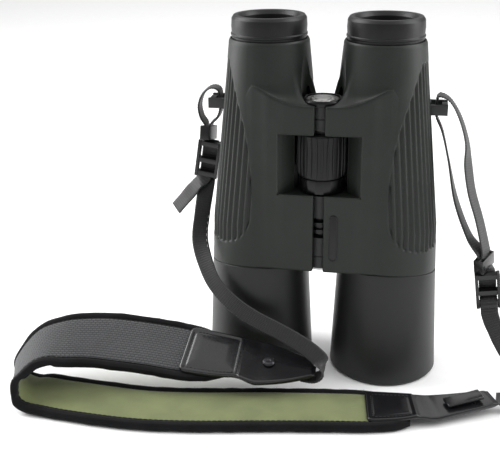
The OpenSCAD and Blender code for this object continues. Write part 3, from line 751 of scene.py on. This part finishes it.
def pad_shape(at, total, u, v, half):
    """The binding puckers a little along its length, and the ends are pressed flat under the leather."""
    k = at / 5.5
    i = int(k)
    t = float(smoothstep(k - i))
    pucker = (1 - t) * wobble[i % 400] + t * wobble[(i + 1) % 400]
    ends = 0.62 + 0.38 * float(smoothstep(min(at, total - at) / 6))
    out = u * (1 + 0.010 * pucker * (abs(u) > 0.8))
    return out, v * ends * (1 + 0.05 * pucker * (abs(u) > 0.75))


def rest_on_floor(obj, lowest=0.2 * MM):
    """Press anything below the floor up to just above it, as a soft edge flattens where it lies."""
    for vertex in obj.data.vertices:
        vertex.co.z = max(vertex.co.z, lowest)


pad, pad_info = band("strap_pad", PAD, [(u, v) for u, v, c in rows], [fuzz, pad_lining, pad_face], cloth, gap=1.0, shape=pad_shape)
rest_on_floor(pad)
outward(pad, angle=80)
ridden(pad, LEFT, "pad", "neck_pad")
lines = []
for u in (-0.745, 0.745):
    for v in (2.05, -2.05):
        lines.append([on_band(pad_info, s, u, v) for s in np.arange(8, pad_info["run_at"][-1] - 8, 2.0)])
ridden(stitches("strap_pad_stitches", lines, thread, pitch=3.0, length=2.3, radius=0.28), LEFT, "pad")
print("pad: %.0f mm along its middle" % pad_info["run_at"][-1])


# %% [markdown]
# ## Lint on the binding
# The binding is a napped cloth, so short loose fibres stand off it. Geometry Nodes scatter them over
# the binding's faces only, each a tiny three-sided spike with its own tilt and length.

# %% Fibres
def lint_tree():
    tree = bpy.data.node_groups.new("lint on cloth", "GeometryNodeTree")
    ids = {"Geometry": tree_input(tree, "Geometry", "NodeSocketGeometry")}
    tree.interface.new_socket(name="Geometry", in_out="OUTPUT", socket_type="NodeSocketGeometry")
    ids["Density"] = tree_input(tree, "Density", "NodeSocketFloat", 200000.0)
    ids["Fibre length"] = tree_input(tree, "Fibre length", "NodeSocketFloat", 0.001)
    ids["Seed"] = tree_input(tree, "Seed", "NodeSocketInt", 11)
    ids["Fibre"] = tree_input(tree, "Fibre", "NodeSocketMaterial")
    n, link = tree.nodes, tree.links.new
    start, end = n.new("NodeGroupInput"), n.new("NodeGroupOutput")
    which = n.new("GeometryNodeInputMaterialIndex")
    is_binding = n.new("FunctionNodeCompare")
    is_binding.data_type = "INT"
    is_binding.operation = "EQUAL"
    scatter = n.new("GeometryNodeDistributePointsOnFaces")
    spike = n.new("GeometryNodeMeshCone")
    spike.inputs["Vertices"].default_value = 3
    spike.inputs["Radius Bottom"].default_value = 0.05
    spike.inputs["Radius Top"].default_value = 0.01
    spike.inputs["Depth"].default_value = 1
    place = n.new("GeometryNodeInstanceOnPoints")
    tilt = n.new("FunctionNodeRandomValue")
    tilt.data_type = "FLOAT_VECTOR"
    tilt.inputs[0].default_value = (-1.2, -1.2, 0)
    tilt.inputs[1].default_value = (1.2, 1.2, 6.28)
    lean = n.new("FunctionNodeEulerToRotation")
    turn = n.new("FunctionNodeRotateRotation")
    long_or_short = n.new("FunctionNodeRandomValue")
    long_or_short.inputs[2].default_value = 0.4
    long_or_short.inputs[3].default_value = 1.2
    size = n.new("ShaderNodeMath")
    size.operation = "MULTIPLY"
    real = n.new("GeometryNodeRealizeInstances")
    tint = n.new("GeometryNodeSetMaterial")
    link(which.outputs[0], is_binding.inputs["A"])
    link(start.outputs["Geometry"], scatter.inputs["Mesh"])
    link(is_binding.outputs[0], scatter.inputs["Selection"])
    link(start.outputs["Density"], scatter.inputs["Density"])
    link(start.outputs["Seed"], scatter.inputs["Seed"])
    link(scatter.outputs["Points"], place.inputs["Points"])
    link(spike.outputs["Mesh"], place.inputs["Instance"])
    link(tilt.outputs["Value"], lean.inputs[0])
    link(scatter.outputs["Rotation"], turn.inputs[0])
    link(lean.outputs[0], turn.inputs[1])
    link(turn.outputs[0], place.inputs["Rotation"])
    link(long_or_short.outputs[1], size.inputs[0])
    link(start.outputs["Fibre length"], size.inputs[1])
    link(size.outputs[0], place.inputs["Scale"])
    link(place.outputs["Instances"], real.inputs["Geometry"])
    link(real.outputs["Geometry"], tint.inputs["Geometry"])
    link(start.outputs["Fibre"], tint.inputs["Material"])
    link(tint.outputs["Geometry"], end.inputs["Geometry"])
    return tree, ids


lint = bpy.data.objects.new("strap_pad_lint", pad.data.copy())
bpy.context.collection.objects.link(lint)
tree, ids = lint_tree()
mod = lint.modifiers.new("lint", "NODES")
mod.node_group = tree
mod[ids["Density"]] = 420000.0
mod[ids["Fibre length"]] = 1.0 * MM
mod[ids["Seed"]] = 11
mod[ids["Fibre"]] = fuzz
bake(lint)
rest_on_floor(lint, 0.1 * MM)
ridden(lint, LEFT, "pad")
print("fibre faces", len(lint.data.polygons))

# %% [markdown]
# ## Plain finishes on the CAD parts
# Parts whose CAD shape is already the real one keep it and only get a better finish.

# %% Finishes on CAD nodes
def paint(mat, *nodes):
    for node in nodes:
        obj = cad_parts[node]
        for slot in obj.material_slots:
            slot.material = mat


paint(dark_casting, "housing_l", "housing_r", "lug_l", "lug_r")
paint(black_metal, "objective_ring_l", "objective_ring_r", "eyepiece_tube_l", "eyepiece_tube_r", "focus_cell_l", "focus_cell_r",
      "prism_cage_l", "prism_cage_r", "focus_tube", "focus_nut", "dioptre_ring", "focus_wheel", "name_plate", "cap_ring")
paint(steel, "hinge_axle", "tripod_bush")
paint(cap_metal, "hinge_cap")

# %% [markdown]
# ## Rubber armour
# Each half wears one moulded rubber skin: round behind the eyecup, flat-fronted over the hinge
# bridge, with a scooped ledge between the two and a fluted grip down its outer side. Its shape
# follows rules, so it is lofted from them: a column of points runs down every direction round the
# barrel, the bridge and the barrel are blended with a smooth maximum, and the flutes are a wave that
# fades in at the grip's edge. Boolean cuts then open the window, the hinge and the barrel inside.

# %% Armour rules
OBJ_X, EYE_X, HINGE_Y, TOP_Z = 39.0, 33.0, -15.0, 204.0
SEAM_Z, SEAM_SLOPE = 66.6, math.tan(math.radians(10.5))

def axis_x(z):
    return np.interp(z, [96, 180], [OBJ_X, EYE_X])


def barrel_r(z):
    return np.interp(z, [63, 80, 96, 180, 204], [30, 29.3, 28.8, 25.6, 23.1])


def crease_z(x):
    return np.interp(abs(x), [0, 10, 16, 20, 24, 28, 32, 36.5], [171.0, 171.2, 171.8, 172.9, 174.4, 176.2, 178.3, 180.8])


def grip_edge_x(z):
    return np.interp(z, [84.8, 85.4, 87, 90, 95, 101, 108, 120, 139, 155, 172, 192],
                     [60.5, 56, 51, 46.5, 42.3, 39.6, 38.5, 38.6, 40, 42.8, 47.8, 53.5])


def round_corner(a, p, b, radius, count=7):
    a, p, b = (np.array(q, float) for q in (a, p, b))
    u, v = (a - p) / np.linalg.norm(a - p), (b - p) / np.linalg.norm(b - p)
    cut = radius / math.tan(0.5 * math.acos(float(np.clip(u @ v, -1, 1))))
    s, e = p + u * cut, p + v * cut
    return [(1 - t) ** 2 * s + 2 * t * (1 - t) * p + t * t * e for t in np.linspace(0, 1, count)]


def outline():
    """Target points round one half: the bridge's front, inner side and back, then small steps round the barrel."""
    line = [np.array((39.0, -24.0))] + round_corner((39, -24), (30, -28.6), (20, -30), 12, 9) + round_corner((30, -28.6), (20, -30), (3, -30), 12, 9)
    line += round_corner((20, -30), (3, -30), (3, -13), 1.1, 7) + round_corner((3, -30), (3, -13), (5.09, 1), 4, 5)
    line += round_corner((3, -13), (5.09, 1), (24, 1), 1.1, 6) + [np.array((10.0, 1.0))]
    pts = np.array(line)
    dense = [pts[0]]
    for a, b in zip(pts[:-1], pts[1:]):
        steps = max(1, int(np.linalg.norm(b - a) / 0.9))
        dense += [a + (b - a) * k / steps for k in range(1, steps + 1)]
    start, end = math.radians(172), math.radians(-82)
    round_part = [np.array((36 + 12 * math.cos(a), 12 * math.sin(a))) for a in np.linspace(start, end, 262)]
    return np.array(dense + round_part), len(dense)


OUTLINE, BRIDGE_COLUMNS = outline()
FLUTE = math.radians(8.0)

def armour_solid(name, inset=0.0, flutes=True, low=0.0, high=0.0, rows=(92, 14, 20)):
    """The armour as one closed solid, inset millimetres smaller all round. low and high stretch its ends."""
    cols = len(OUTLINE)
    layers = []
    for j, p in enumerate(OUTLINE):
        column = []
        bridge = j < BRIDGE_COLUMNS
        def spot(z):
            c = np.array((float(axis_x(z)), 0.0))
            d = p - c
            reach = float(np.linalg.norm(d)) if bridge else 0.0
            unit = d / np.linalg.norm(d)
            r = float(barrel_r(z))
            h = max(4 - abs(reach - r), 0) / 4
            return c, unit, r, max(reach, r) + h * h
        c, unit, r, big = spot(120)
        foot_y = unit[1] * big
        z0 = SEAM_Z - SEAM_SLOPE * foot_y - low
        c, unit, r, big = spot(174)
        z1 = float(crease_z((c + unit * big)[0])) - inset if big - r > 0.4 else 176.0
        fall = max(0.0, spot(z1)[3] - spot(z1)[2])
        back = float(smoothstep((p[1] + 14) / 7)) if bridge else 0.0
        z2 = z1 + min(20.0, 1.0 + 1.35 * fall) * (1 - back) + min(22.0, 1.0 + 2.6 * fall) * back
        for k in range(rows[0]):
            t = k / (rows[0] - 1)
            z = z0 + (z1 - z0) * (t - 0.055 * math.sin(2 * math.pi * t))
            c, unit, r, big = spot(z)
            big -= inset
            if flutes and not bridge:
                x, y = c + unit * big
                a = math.atan2(unit[1], unit[0])
                mask = float(smoothstep((x - grip_edge_x(z)) / 1.1)) * (1 if 84.8 < z < 192 else 0)
                ridge = abs(math.cos(math.pi * a / FLUTE)) ** 1.6
                big -= mask * (0.15 + 1.15 * (1 - ridge))
            near_edge = max(0.0, 1 - (z1 - z) / 1.6) if fall > 0.5 else 0
            foot = max(0.0, 1 - (z - z0) / 1.0) ** 2 * (0.45 if inset == 0 else 0)
            column.append((*(c + unit * (big - 0.35 * near_edge ** 2 - foot)), z))
        c, unit, r, big = spot(z1)
        for k in range(1, rows[1] + 1):
            t = k / rows[1]
            rise = (1 - back) * (1 - math.cos(math.pi / 2 * t)) ** 1.35 + back * t ** 1.15
            run_in = (1 - back) * math.sin(math.pi / 2 * t) + back * t
            z = z1 + (z2 - z1) * rise
            cz, uz, rz, _ = spot(z)
            edge = big - inset - (0.35 if fall > 0.5 else 0)
            rr = edge + (rz - inset - edge) * run_in if fall > 0.5 else rz - inset
            if flutes and not bridge and fall <= 0.5:
                x, y = cz + uz * rr
                mask = float(smoothstep((x - grip_edge_x(z)) / 1.1))
                rr -= mask * (0.15 + 1.15 * (1 - abs(math.cos(math.pi * math.atan2(uz[1], uz[0]) / FLUTE)) ** 1.6))
            column.append((*(cz + uz * rr), z))
        for k in range(1, rows[2] + 1):
            t = k / rows[2]
            z = z2 + (TOP_Z + high - z2) * t
            cz, uz, rz, _ = spot(min(z, TOP_Z))
            rr = rz - inset - (0.5 * max(0, (z - TOP_Z + 0.8) / 0.8) ** 2 if high == 0 else 0)
            if flutes and not bridge:
                x, y = cz + uz * rr
                mask = float(smoothstep((x - grip_edge_x(z)) / 1.1)) * (1 if z < 192 else 0)
                rr -= mask * (0.15 + 1.15 * (1 - abs(math.cos(math.pi * math.atan2(uz[1], uz[0]) / FLUTE)) ** 1.6))
            column.append((*(cz + uz * rr), z))
        layers.append(column)
    n_rows = len(layers[0])
    verts = [tuple(np.array(layers[j][i]) * MM) for i in range(n_rows) for j in range(cols)]
    faces = grid_faces(n_rows, cols)
    faces.append(tuple(range(cols - 1, -1, -1)))
    faces.append(tuple(range((n_rows - 1) * cols, n_rows * cols)))
    obj = new_piece(name, verts, faces, armour_rubber)
    bm = bmesh.new()
    bm.from_mesh(obj.data)
    bmesh.ops.triangulate(bm, faces=[f for f in bm.faces if len(f.verts) > 4])
    bmesh.ops.recalc_face_normals(bm, faces=bm.faces)
    bm.to_mesh(obj.data)
    bm.free()
    return obj


# %% Cutters
def brick(name, low, high):
    (x0, y0, z0), (x1, y1, z1) = low, high
    v = [(x * MM, y * MM, z * MM) for z in (z0, z1) for y in (y0, y1) for x in (x0, x1)]
    f = [(0, 2, 3, 1), (4, 5, 7, 6), (0, 1, 5, 4), (2, 6, 7, 3), (0, 4, 6, 2), (1, 3, 7, 5)]
    return new_piece(name, v, f, armour_rubber)


def prism(name, outline_xy, z0, z1):
    n = len(outline_xy)
    v = [(x * MM, y * MM, z * MM) for z in (z0, z1) for x, y in outline_xy]
    f = [tuple(range(n - 1, -1, -1)), tuple(range(n, 2 * n))] + [(i, (i + 1) % n, n + (i + 1) % n, n + i) for i in range(n)]
    return outward(new_piece(name, v, f, armour_rubber), angle=20)


def drum(name, center, r, z0, z1, steps=96):
    return outward(turned(name, [(0, z0), (r, z0), (r, z1), (0, z1)], center, armour_rubber, steps=steps), angle=40)


def carve(obj, cutter, operation="DIFFERENCE"):
    mod = obj.modifiers.new("cut", "BOOLEAN")
    mod.operation = operation
    mod.solver = "MANIFOLD"
    mod.object = cutter
    bake(obj)
    bpy.data.objects.remove(cutter)
    return obj


# %% Right half of the armour
WINDOW = 24.15

def window_room(grow, z0, z1):
    """The window: flared sides that lead in to a round scoop behind the wheel."""
    flare = prism("window", [(-1, -50), (WINDOW + grow, -50), (WINDOW + grow, -29 + 0.7 * grow), (15.75 + 0.75 * grow, -19.5 + 0.7 * grow), (-1, -19.5 + 0.7 * grow)], z0, z1)
    return carve(flare, drum("scoop", (0, HINGE_Y), 16.15 + grow, z0, z1), "UNION")


skin = armour_solid("armour_right")
inside = armour_solid("armour_inside", inset=2.2, flutes=False, low=8, high=8, rows=(40, 10, 10))
inside = carve(inside, window_room(1.6, 116.9, 157.3))
skin = carve(skin, inside)
skin = carve(skin, window_room(0, 118.6, 155.6))
for cutter in (drum("hinge_room", (0, HINGE_Y), 10.9, 60, 170.6), drum("cap_room", (0, HINGE_Y), 12.3, 170.15, 200),
               drum("eye_room", (EYE_X, 0), 21.9, 179, 212),
               brick("lug_room", (53, -2.5, 161.7), (80, 12.5, 167.9))):
    skin = carve(skin, cutter)
print("armour triangles", sum(len(p.vertices) - 2 for p in skin.data.polygons))

# %% Left half and finish
def mirrored(obj, name):
    mesh = obj.data.copy()
    mesh.transform(Matrix.Scale(-1, 4, Vector((1, 0, 0))))
    mesh.flip_normals()
    twin = bpy.data.objects.new(name, mesh)
    bpy.context.collection.objects.link(twin)
    return twin


left_skin = mirrored(skin, "armour_left")
for obj, body, node in ((skin, RIGHT, "armour_r"), (left_skin, LEFT, "armour_l")):
    bm = bmesh.new()
    bm.from_mesh(obj.data)
    bmesh.ops.remove_doubles(bm, verts=bm.verts, dist=2e-6)
    for f in bm.faces:
        f.smooth = True
    for e in bm.edges:
        if len(e.link_faces) == 2:
            e.smooth = e.calc_face_angle(0) < math.radians(38)
    bm.to_mesh(obj.data)
    bm.free()
    ridden(obj, body, "armour", node)

# %% [markdown]
# ## Window rims
# Moulded rubber never ends in a knife edge: a soft round lip runs round the window and catches the
# light. It is a thin tube swept along the window's edge.

# %% Rims
def tube(name, points, r, mat, closed=False, sides=10):
    """A round tube along points, in millimetres."""
    p = np.array(points, float)
    run = unit_rows(np.gradient(p, axis=0))
    ref = np.tile(np.array((0.31, 0.2, 0.93)), (len(p), 1))
    a = unit_rows(np.cross(run, ref))
    b = np.cross(run, a)
    verts = [(p[i] + r * (math.cos(t) * a[i] + math.sin(t) * b[i])) * MM for i in range(len(p))
             for t in np.linspace(0, 2 * math.pi, sides, endpoint=False)]
    faces = grid_faces(len(p), sides)
    faces.append(tuple(range(sides - 1, -1, -1)))
    faces.append(tuple(range((len(p) - 1) * sides, len(p) * sides)))
    return outward(new_piece(name, verts, faces, mat), angle=60)


def bridge_front(x):
    return np.interp(x, [3, 4.2, 17, 20, 22, 24.2], [-29.55, -30.0, -29.98, -29.85, -29.68, -29.42])


EDGE = 24.15
rim = [(x, bridge_front(x) + 0.38, 155.35) for x in np.linspace(3.3, 23.2, 22)]
rim += [(EDGE - 0.6 + 0.35 * math.sin(a), bridge_front(EDGE) + 0.38, 154.75 + 0.6 * math.cos(a)) for a in (0.4, 0.8, 1.2)]
rim += [(EDGE - 0.25, bridge_front(EDGE) + 0.38, z) for z in np.linspace(153.5, 120.5, 26)]
rim += [(x, bridge_front(x) + 0.38, 118.85) for x in np.linspace(23.2, 3.3, 22)]
rim_right = tube("window_rim_right", rim, 0.55, armour_rubber)
ridden(rim_right, RIGHT, "armour")
ridden(mirrored(rim_right, "window_rim_left"), LEFT, "armour")

# %% [markdown]
# ## Objective sleeves
# Below the slanting seam each objective tube has its own smooth sleeve. It is a turned shape whose
# top edge is moved onto the slanting plane, column by column.

# %% Sleeves
def sleeve(name, side_sign):
    inner = [(29.4, 0.9), (29.4, 49.8), (26.4, 49.8), (26.4, 76)]
    outer = [(29.9, 76), (30.1, 66), (30.6, 50), (31.6, 30), (32.4, 12), (33, 1.6), (31.8, 0), (30.2, 0)]
    profile = rounded(inner + outer, 0.6, 5)
    steps, verts = 180, []
    for k in range(steps):
        a = 2 * math.pi * k / steps
        for r, z in profile:
            y = r * math.sin(a)
            top = SEAM_Z - 0.35 - SEAM_SLOPE * 30 * math.sin(a)
            zz = z if z < 50 else 50 + (z - 50) * (top - 50) / 26
            verts.append((side_sign * (OBJ_X + r * math.cos(a)) * MM, y * MM, zz * MM))
    return outward(new_piece(name, verts, grid_faces(steps, len(profile), closed_rows=True), sleeve_rubber), angle=45)


for name, sign, body, node in (("objective_sleeve_left", -1, LEFT, "sleeve_l"), ("objective_sleeve_right", 1, RIGHT, "sleeve_r")):
    ridden(sleeve(name, sign), body, "sleeve", node)

# %% [markdown]
# ## Eyecups
# The eyecups are soft black rubber with a rolled top, a bead near the armour and a well inside.

# %% Eyecups
EYECUP = [(19.6, 186), (21.4, 186), (21.4, 205.5), (22.0, 205.8), (22.0, 206.9), (21.5, 207.2), (21.75, 211), (21.45, 215.2),
          (20.3, 217), (17.8, 217), (16.2, 214.6), (16.0, 204), (19.6, 204)]
for name, x, body, node in (("eyecup_rubber_left", -EYE_X, "eyecup_left", "eyecup_l"), ("eyecup_rubber_right", EYE_X, "eyecup_right", "eyecup_r")):
    ridden(turned(name, rounded(EYECUP, 0.8, 5), (x, 0), black_rubber, steps=144), body, "black_rubber", node)

# %% [markdown]
# ## Focus wheel
# The focus wheel is a rubber drum with rounded ribs for the fingertips. The ribs repeat round a
# circle, so one rib is instanced with Geometry Nodes, and the drum is a turned shape.

# %% Rib tree
def rib_tree():
    tree = bpy.data.node_groups.new("ribs round a drum", "GeometryNodeTree")
    ids = {"Geometry": tree_input(tree, "Geometry", "NodeSocketGeometry")}
    tree.interface.new_socket(name="Geometry", in_out="OUTPUT", socket_type="NodeSocketGeometry")
    for label, value in (("Drum radius", 0.0158), ("Rib width", 0.0011), ("Rib depth", 0.0008), ("Rib height", 0.024), ("Middle height", 0.141)):
        ids[label] = tree_input(tree, label, "NodeSocketFloat", value)
    ids["Count"] = tree_input(tree, "Count", "NodeSocketInt", 28)
    ids["Finish"] = tree_input(tree, "Finish", "NodeSocketMaterial")
    n, link = tree.nodes, tree.links.new
    start, end = n.new("NodeGroupInput"), n.new("NodeGroupOutput")
    ring = n.new("GeometryNodeMeshCircle")
    place = n.new("GeometryNodeInstanceOnPoints")
    rib = n.new("GeometryNodeMeshUVSphere")
    rib.inputs["Segments"].default_value = 12
    rib.inputs["Rings"].default_value = 16
    rib.inputs["Radius"].default_value = 1
    normal = n.new("GeometryNodeInputPosition")
    turn = n.new("FunctionNodeAlignRotationToVector")
    turn.axis = "X"
    half = n.new("ShaderNodeMath")
    half.operation = "MULTIPLY"
    half.inputs[1].default_value = 0.5
    size = n.new("ShaderNodeCombineXYZ")
    lift = n.new("ShaderNodeCombineXYZ")
    lift.inputs["Y"].default_value = -0.015
    move = n.new("GeometryNodeTransform")
    real = n.new("GeometryNodeRealizeInstances")
    paint_it = n.new("GeometryNodeSetMaterial")
    link(start.outputs["Count"], ring.inputs["Vertices"])
    link(start.outputs["Drum radius"], ring.inputs["Radius"])
    link(ring.outputs["Mesh"], place.inputs["Points"])
    link(rib.outputs["Mesh"], place.inputs["Instance"])
    link(normal.outputs["Position"], turn.inputs["Vector"])
    link(turn.outputs["Rotation"], place.inputs["Rotation"])
    link(start.outputs["Rib height"], half.inputs[0])
    link(start.outputs["Rib depth"], size.inputs["X"])
    link(start.outputs["Rib width"], size.inputs["Y"])
    link(half.outputs[0], size.inputs["Z"])
    link(size.outputs["Vector"], place.inputs["Scale"])
    link(start.outputs["Middle height"], lift.inputs["Z"])
    link(place.outputs["Instances"], move.inputs["Geometry"])
    link(lift.outputs["Vector"], move.inputs["Translation"])
    link(move.outputs["Geometry"], real.inputs["Geometry"])
    link(real.outputs["Geometry"], paint_it.inputs["Geometry"])
    link(start.outputs["Finish"], paint_it.inputs["Material"])
    link(paint_it.outputs["Geometry"], end.inputs["Geometry"])
    return tree, ids


# %% Focus wheel and its ribs
drum_outline = [(7.5, 128.2), (13.3, 128.2), (13.5, 129), (13.5, 153), (13.2, 153.9), (11.6, 153.9), (11.3, 147), (9.6, 147), (9.6, 153.6), (7.5, 153.6)]
wheel = ridden(turned("focus_wheel_drum", rounded(drum_outline, 0.4, 4), (0, HINGE_Y), black_rubber, steps=168), "focus_drive", "black_rubber", "focus_wheel")
tree, ids = rib_tree()
ribs = new_piece("focus_wheel_ribs", [(0, 0, 0)], [], black_rubber)
mod = ribs.modifiers.new("ribs", "NODES")
mod.node_group = tree
mod[ids["Drum radius"]] = 13.45 * MM
mod[ids["Rib width"]] = 0.72 * MM
mod[ids["Rib depth"]] = 0.98 * MM
mod[ids["Rib height"]] = 25 * MM
mod[ids["Middle height"]] = 141 * MM
mod[ids["Count"]] = 26
mod[ids["Finish"]] = black_rubber
bake(ribs)
for p in ribs.data.polygons:
    p.use_smooth = True
ridden(ribs, "focus_drive", "black_rubber")
print("rib faces", len(ribs.data.polygons))

# %% [markdown]
# ## Small hard parts
# The dioptre ring keeps its flat facets with eased edges. The hinge cap is a low metal dome with a
# plain pattern of rings and dots. The name plate is a blank, bordered badge.

# %% Dioptre ring, cap and plate
dioptre = ridden(eased("dioptre_ring_faceted", "dioptre_ring", 0.35, black_metal, angle=12), "dioptre", "black_metal", "dioptre_ring")
cap_ring = ridden(turned("hinge_cap_bezel", rounded([(9.85, 170.3), (12, 170.3), (12, 172.3), (11.4, 173.5), (10.6, 173.6), (9.85, 172.6)], 0.5), (0, HINGE_Y),
                         black_metal, steps=128), LEFT, "black_metal", "cap_ring")
cap_outline = [(0, 170.3), (9.75, 170.3), (9.75, 172.2), (9.3, 172.8), (8.4, 172.9), (8.2, 172.55), (7.6, 172.55), (7.4, 172.95), (5.0, 173.1), (4.85, 172.85),
               (4.45, 172.85), (4.3, 173.12), (2.2, 173.2), (0, 173.2)]
cap = ridden(turned("hinge_cap_dome", rounded(cap_outline, 0.15, 3), (0, HINGE_Y), cap_metal, steps=128), LEFT, "silver", "hinge_cap")
dots = []
for k in range(12):
    a = 2 * math.pi * k / 12
    dot = turned("cap_dot", rounded([(0, 172.7), (0.55, 172.7), (0.55, 173.15), (0.3, 173.3), (0, 173.3)], 0.12, 3),
                 (6.15 * math.cos(a), HINGE_Y + 6.15 * math.sin(a)), cap_metal, steps=14)
    dots.append(dot)
bm = bmesh.new()
for dot in dots:
    bm.from_mesh(dot.data)
dot_mesh = bpy.data.meshes.new("hinge_cap_dots")
bm.to_mesh(dot_mesh)
bm.free()
for dot in dots:
    bpy.data.objects.remove(dot)
dot_mesh.materials.append(cap_metal)
for p in dot_mesh.polygons:
    p.use_smooth = True
cap_dots = bpy.data.objects.new("hinge_cap_dots", dot_mesh)
bpy.context.collection.objects.link(cap_dots)
ridden(cap_dots, LEFT, "silver")
plate = ridden(eased("blank_name_plate", "name_plate", 0.25, black_metal, angle=30), RIGHT, "black_metal", "name_plate")
border = [(8.9 + 2.1 * math.cos(math.radians(a)), -30.42, 105.7 + 2.1 * math.sin(math.radians(a))) for a in range(0, 181, 12)]
border += [(8.9 + 2.1 * math.cos(math.radians(a)), -30.42, 82.2 + 2.1 * math.sin(math.radians(a))) for a in range(180, 361, 12)]
border.append(border[0])
ridden(tube("name_plate_border", border, 0.2, black_metal, sides=8), RIGHT, "black_metal")

# %% Lugs
for side_name, body in (("left", LEFT), ("right", RIGHT)):
    ridden(eased("strap_lug_" + side_name, "lug_" + side_name[0], 0.4, dark_casting), body, "housing", "lug_" + side_name[0])

# %% [markdown]
# ## Lenses
# The objectives and eye lenses are coated glass: clear and glossy. The faint colour the coating gives to reflections is
# painted into the base colour as a tint that grows towards grazing angles: a painted reflection.

# %% Coated glass
def coated(name, tint):
    mat = bpy.data.materials.new(name)
    mat.use_nodes = True
    nodes, links = mat.node_tree.nodes, mat.node_tree.links
    shader = nodes["Principled BSDF"]
    shader.inputs["Roughness"].default_value = 0.03
    shader.inputs["Coat Weight"].default_value = 1.0
    shader.inputs["Coat Roughness"].default_value = 0.02
    shader.inputs["Specular IOR Level"].default_value = 0.7
    # Painted reflection: the base colour runs from near black face-on to the coating's tint at grazing angles.
    rim = nodes.new("ShaderNodeLayerWeight")
    rim.inputs["Blend"].default_value = 0.35
    ramp = nodes.new("ShaderNodeValToRGB")
    ramp.color_ramp.elements[0].color = (0.004, 0.006, 0.009, 1)
    ramp.color_ramp.elements[1].color = (*tint, 1)
    links.new(rim.outputs["Facing"], ramp.inputs["Fac"])
    links.new(ramp.outputs["Color"], shader.inputs["Base Color"])
    return mat


objective_glass = coated("objective coating", (0.05, 0.10, 0.07))
eye_glass = coated("eye lens coating", (0.06, 0.05, 0.12))
paint(objective_glass, "objective_lens_l", "objective_lens_r")
paint(eye_glass, "eye_lens_l", "eye_lens_r", "focus_lens_l", "focus_lens_r", "prism_l", "prism_r")

# %% [markdown]
# ## Floor and studio light
# A plain white floor and three broad lights give the soft, nearly shadowless look of a product table.

# %% Floor
floor_paint = finish("floor paint", (0.88, 0.88, 0.88), rough=0.6, spread=0.01)
floor = new_piece("studio_floor", [(-4, -4, 0), (4, -4, 0), (4, 6, 0), (-4, 6, 0)], [(0, 1, 2, 3)], floor_paint)
low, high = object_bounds()
floor.location.z = min(0.0, low[2]) - 0.0002
floor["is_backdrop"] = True
print("floor at z", round(floor.location.z, 5))

# %% Lights
def soft_light(name, place, target, size, power):
    light = bpy.data.objects.new(name, bpy.data.lights.new(name, "AREA"))
    light.data.shape = "RECTANGLE"
    light.data.size, light.data.size_y = size
    light.data.energy = power
    light.location = place
    light.rotation_euler = (Vector(target) - Vector(place)).to_track_quat("-Z", "Y").to_euler()
    bpy.context.collection.objects.link(light)
    return light


centre = (0, -0.02, 0.08)
soft_light("light_over", (0.0, 0.9, 2.0), (0.0, 0.9, 0.0), (5.0, 5.0), 84)
soft_light("light_left", (-1.0, 0.1, 0.6), centre, (0.7, 1.2), 17)
soft_light("light_right", (1.0, 0.1, 0.6), centre, (0.7, 1.2), 13)
world = bpy.data.worlds.new("studio")
bpy.context.scene.world = world
world.use_nodes = True
world.node_tree.nodes["Background"].inputs["Color"].default_value = (1, 1, 1, 1)
world.node_tree.nodes["Background"].inputs["Strength"].default_value = 0.36
bpy.context.scene.view_settings.view_transform = "Standard"

# %% Check sizes and close
low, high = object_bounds()
print("visual box", [round(float(v), 4) for v in low], [round(float(v), 4) for v in high])
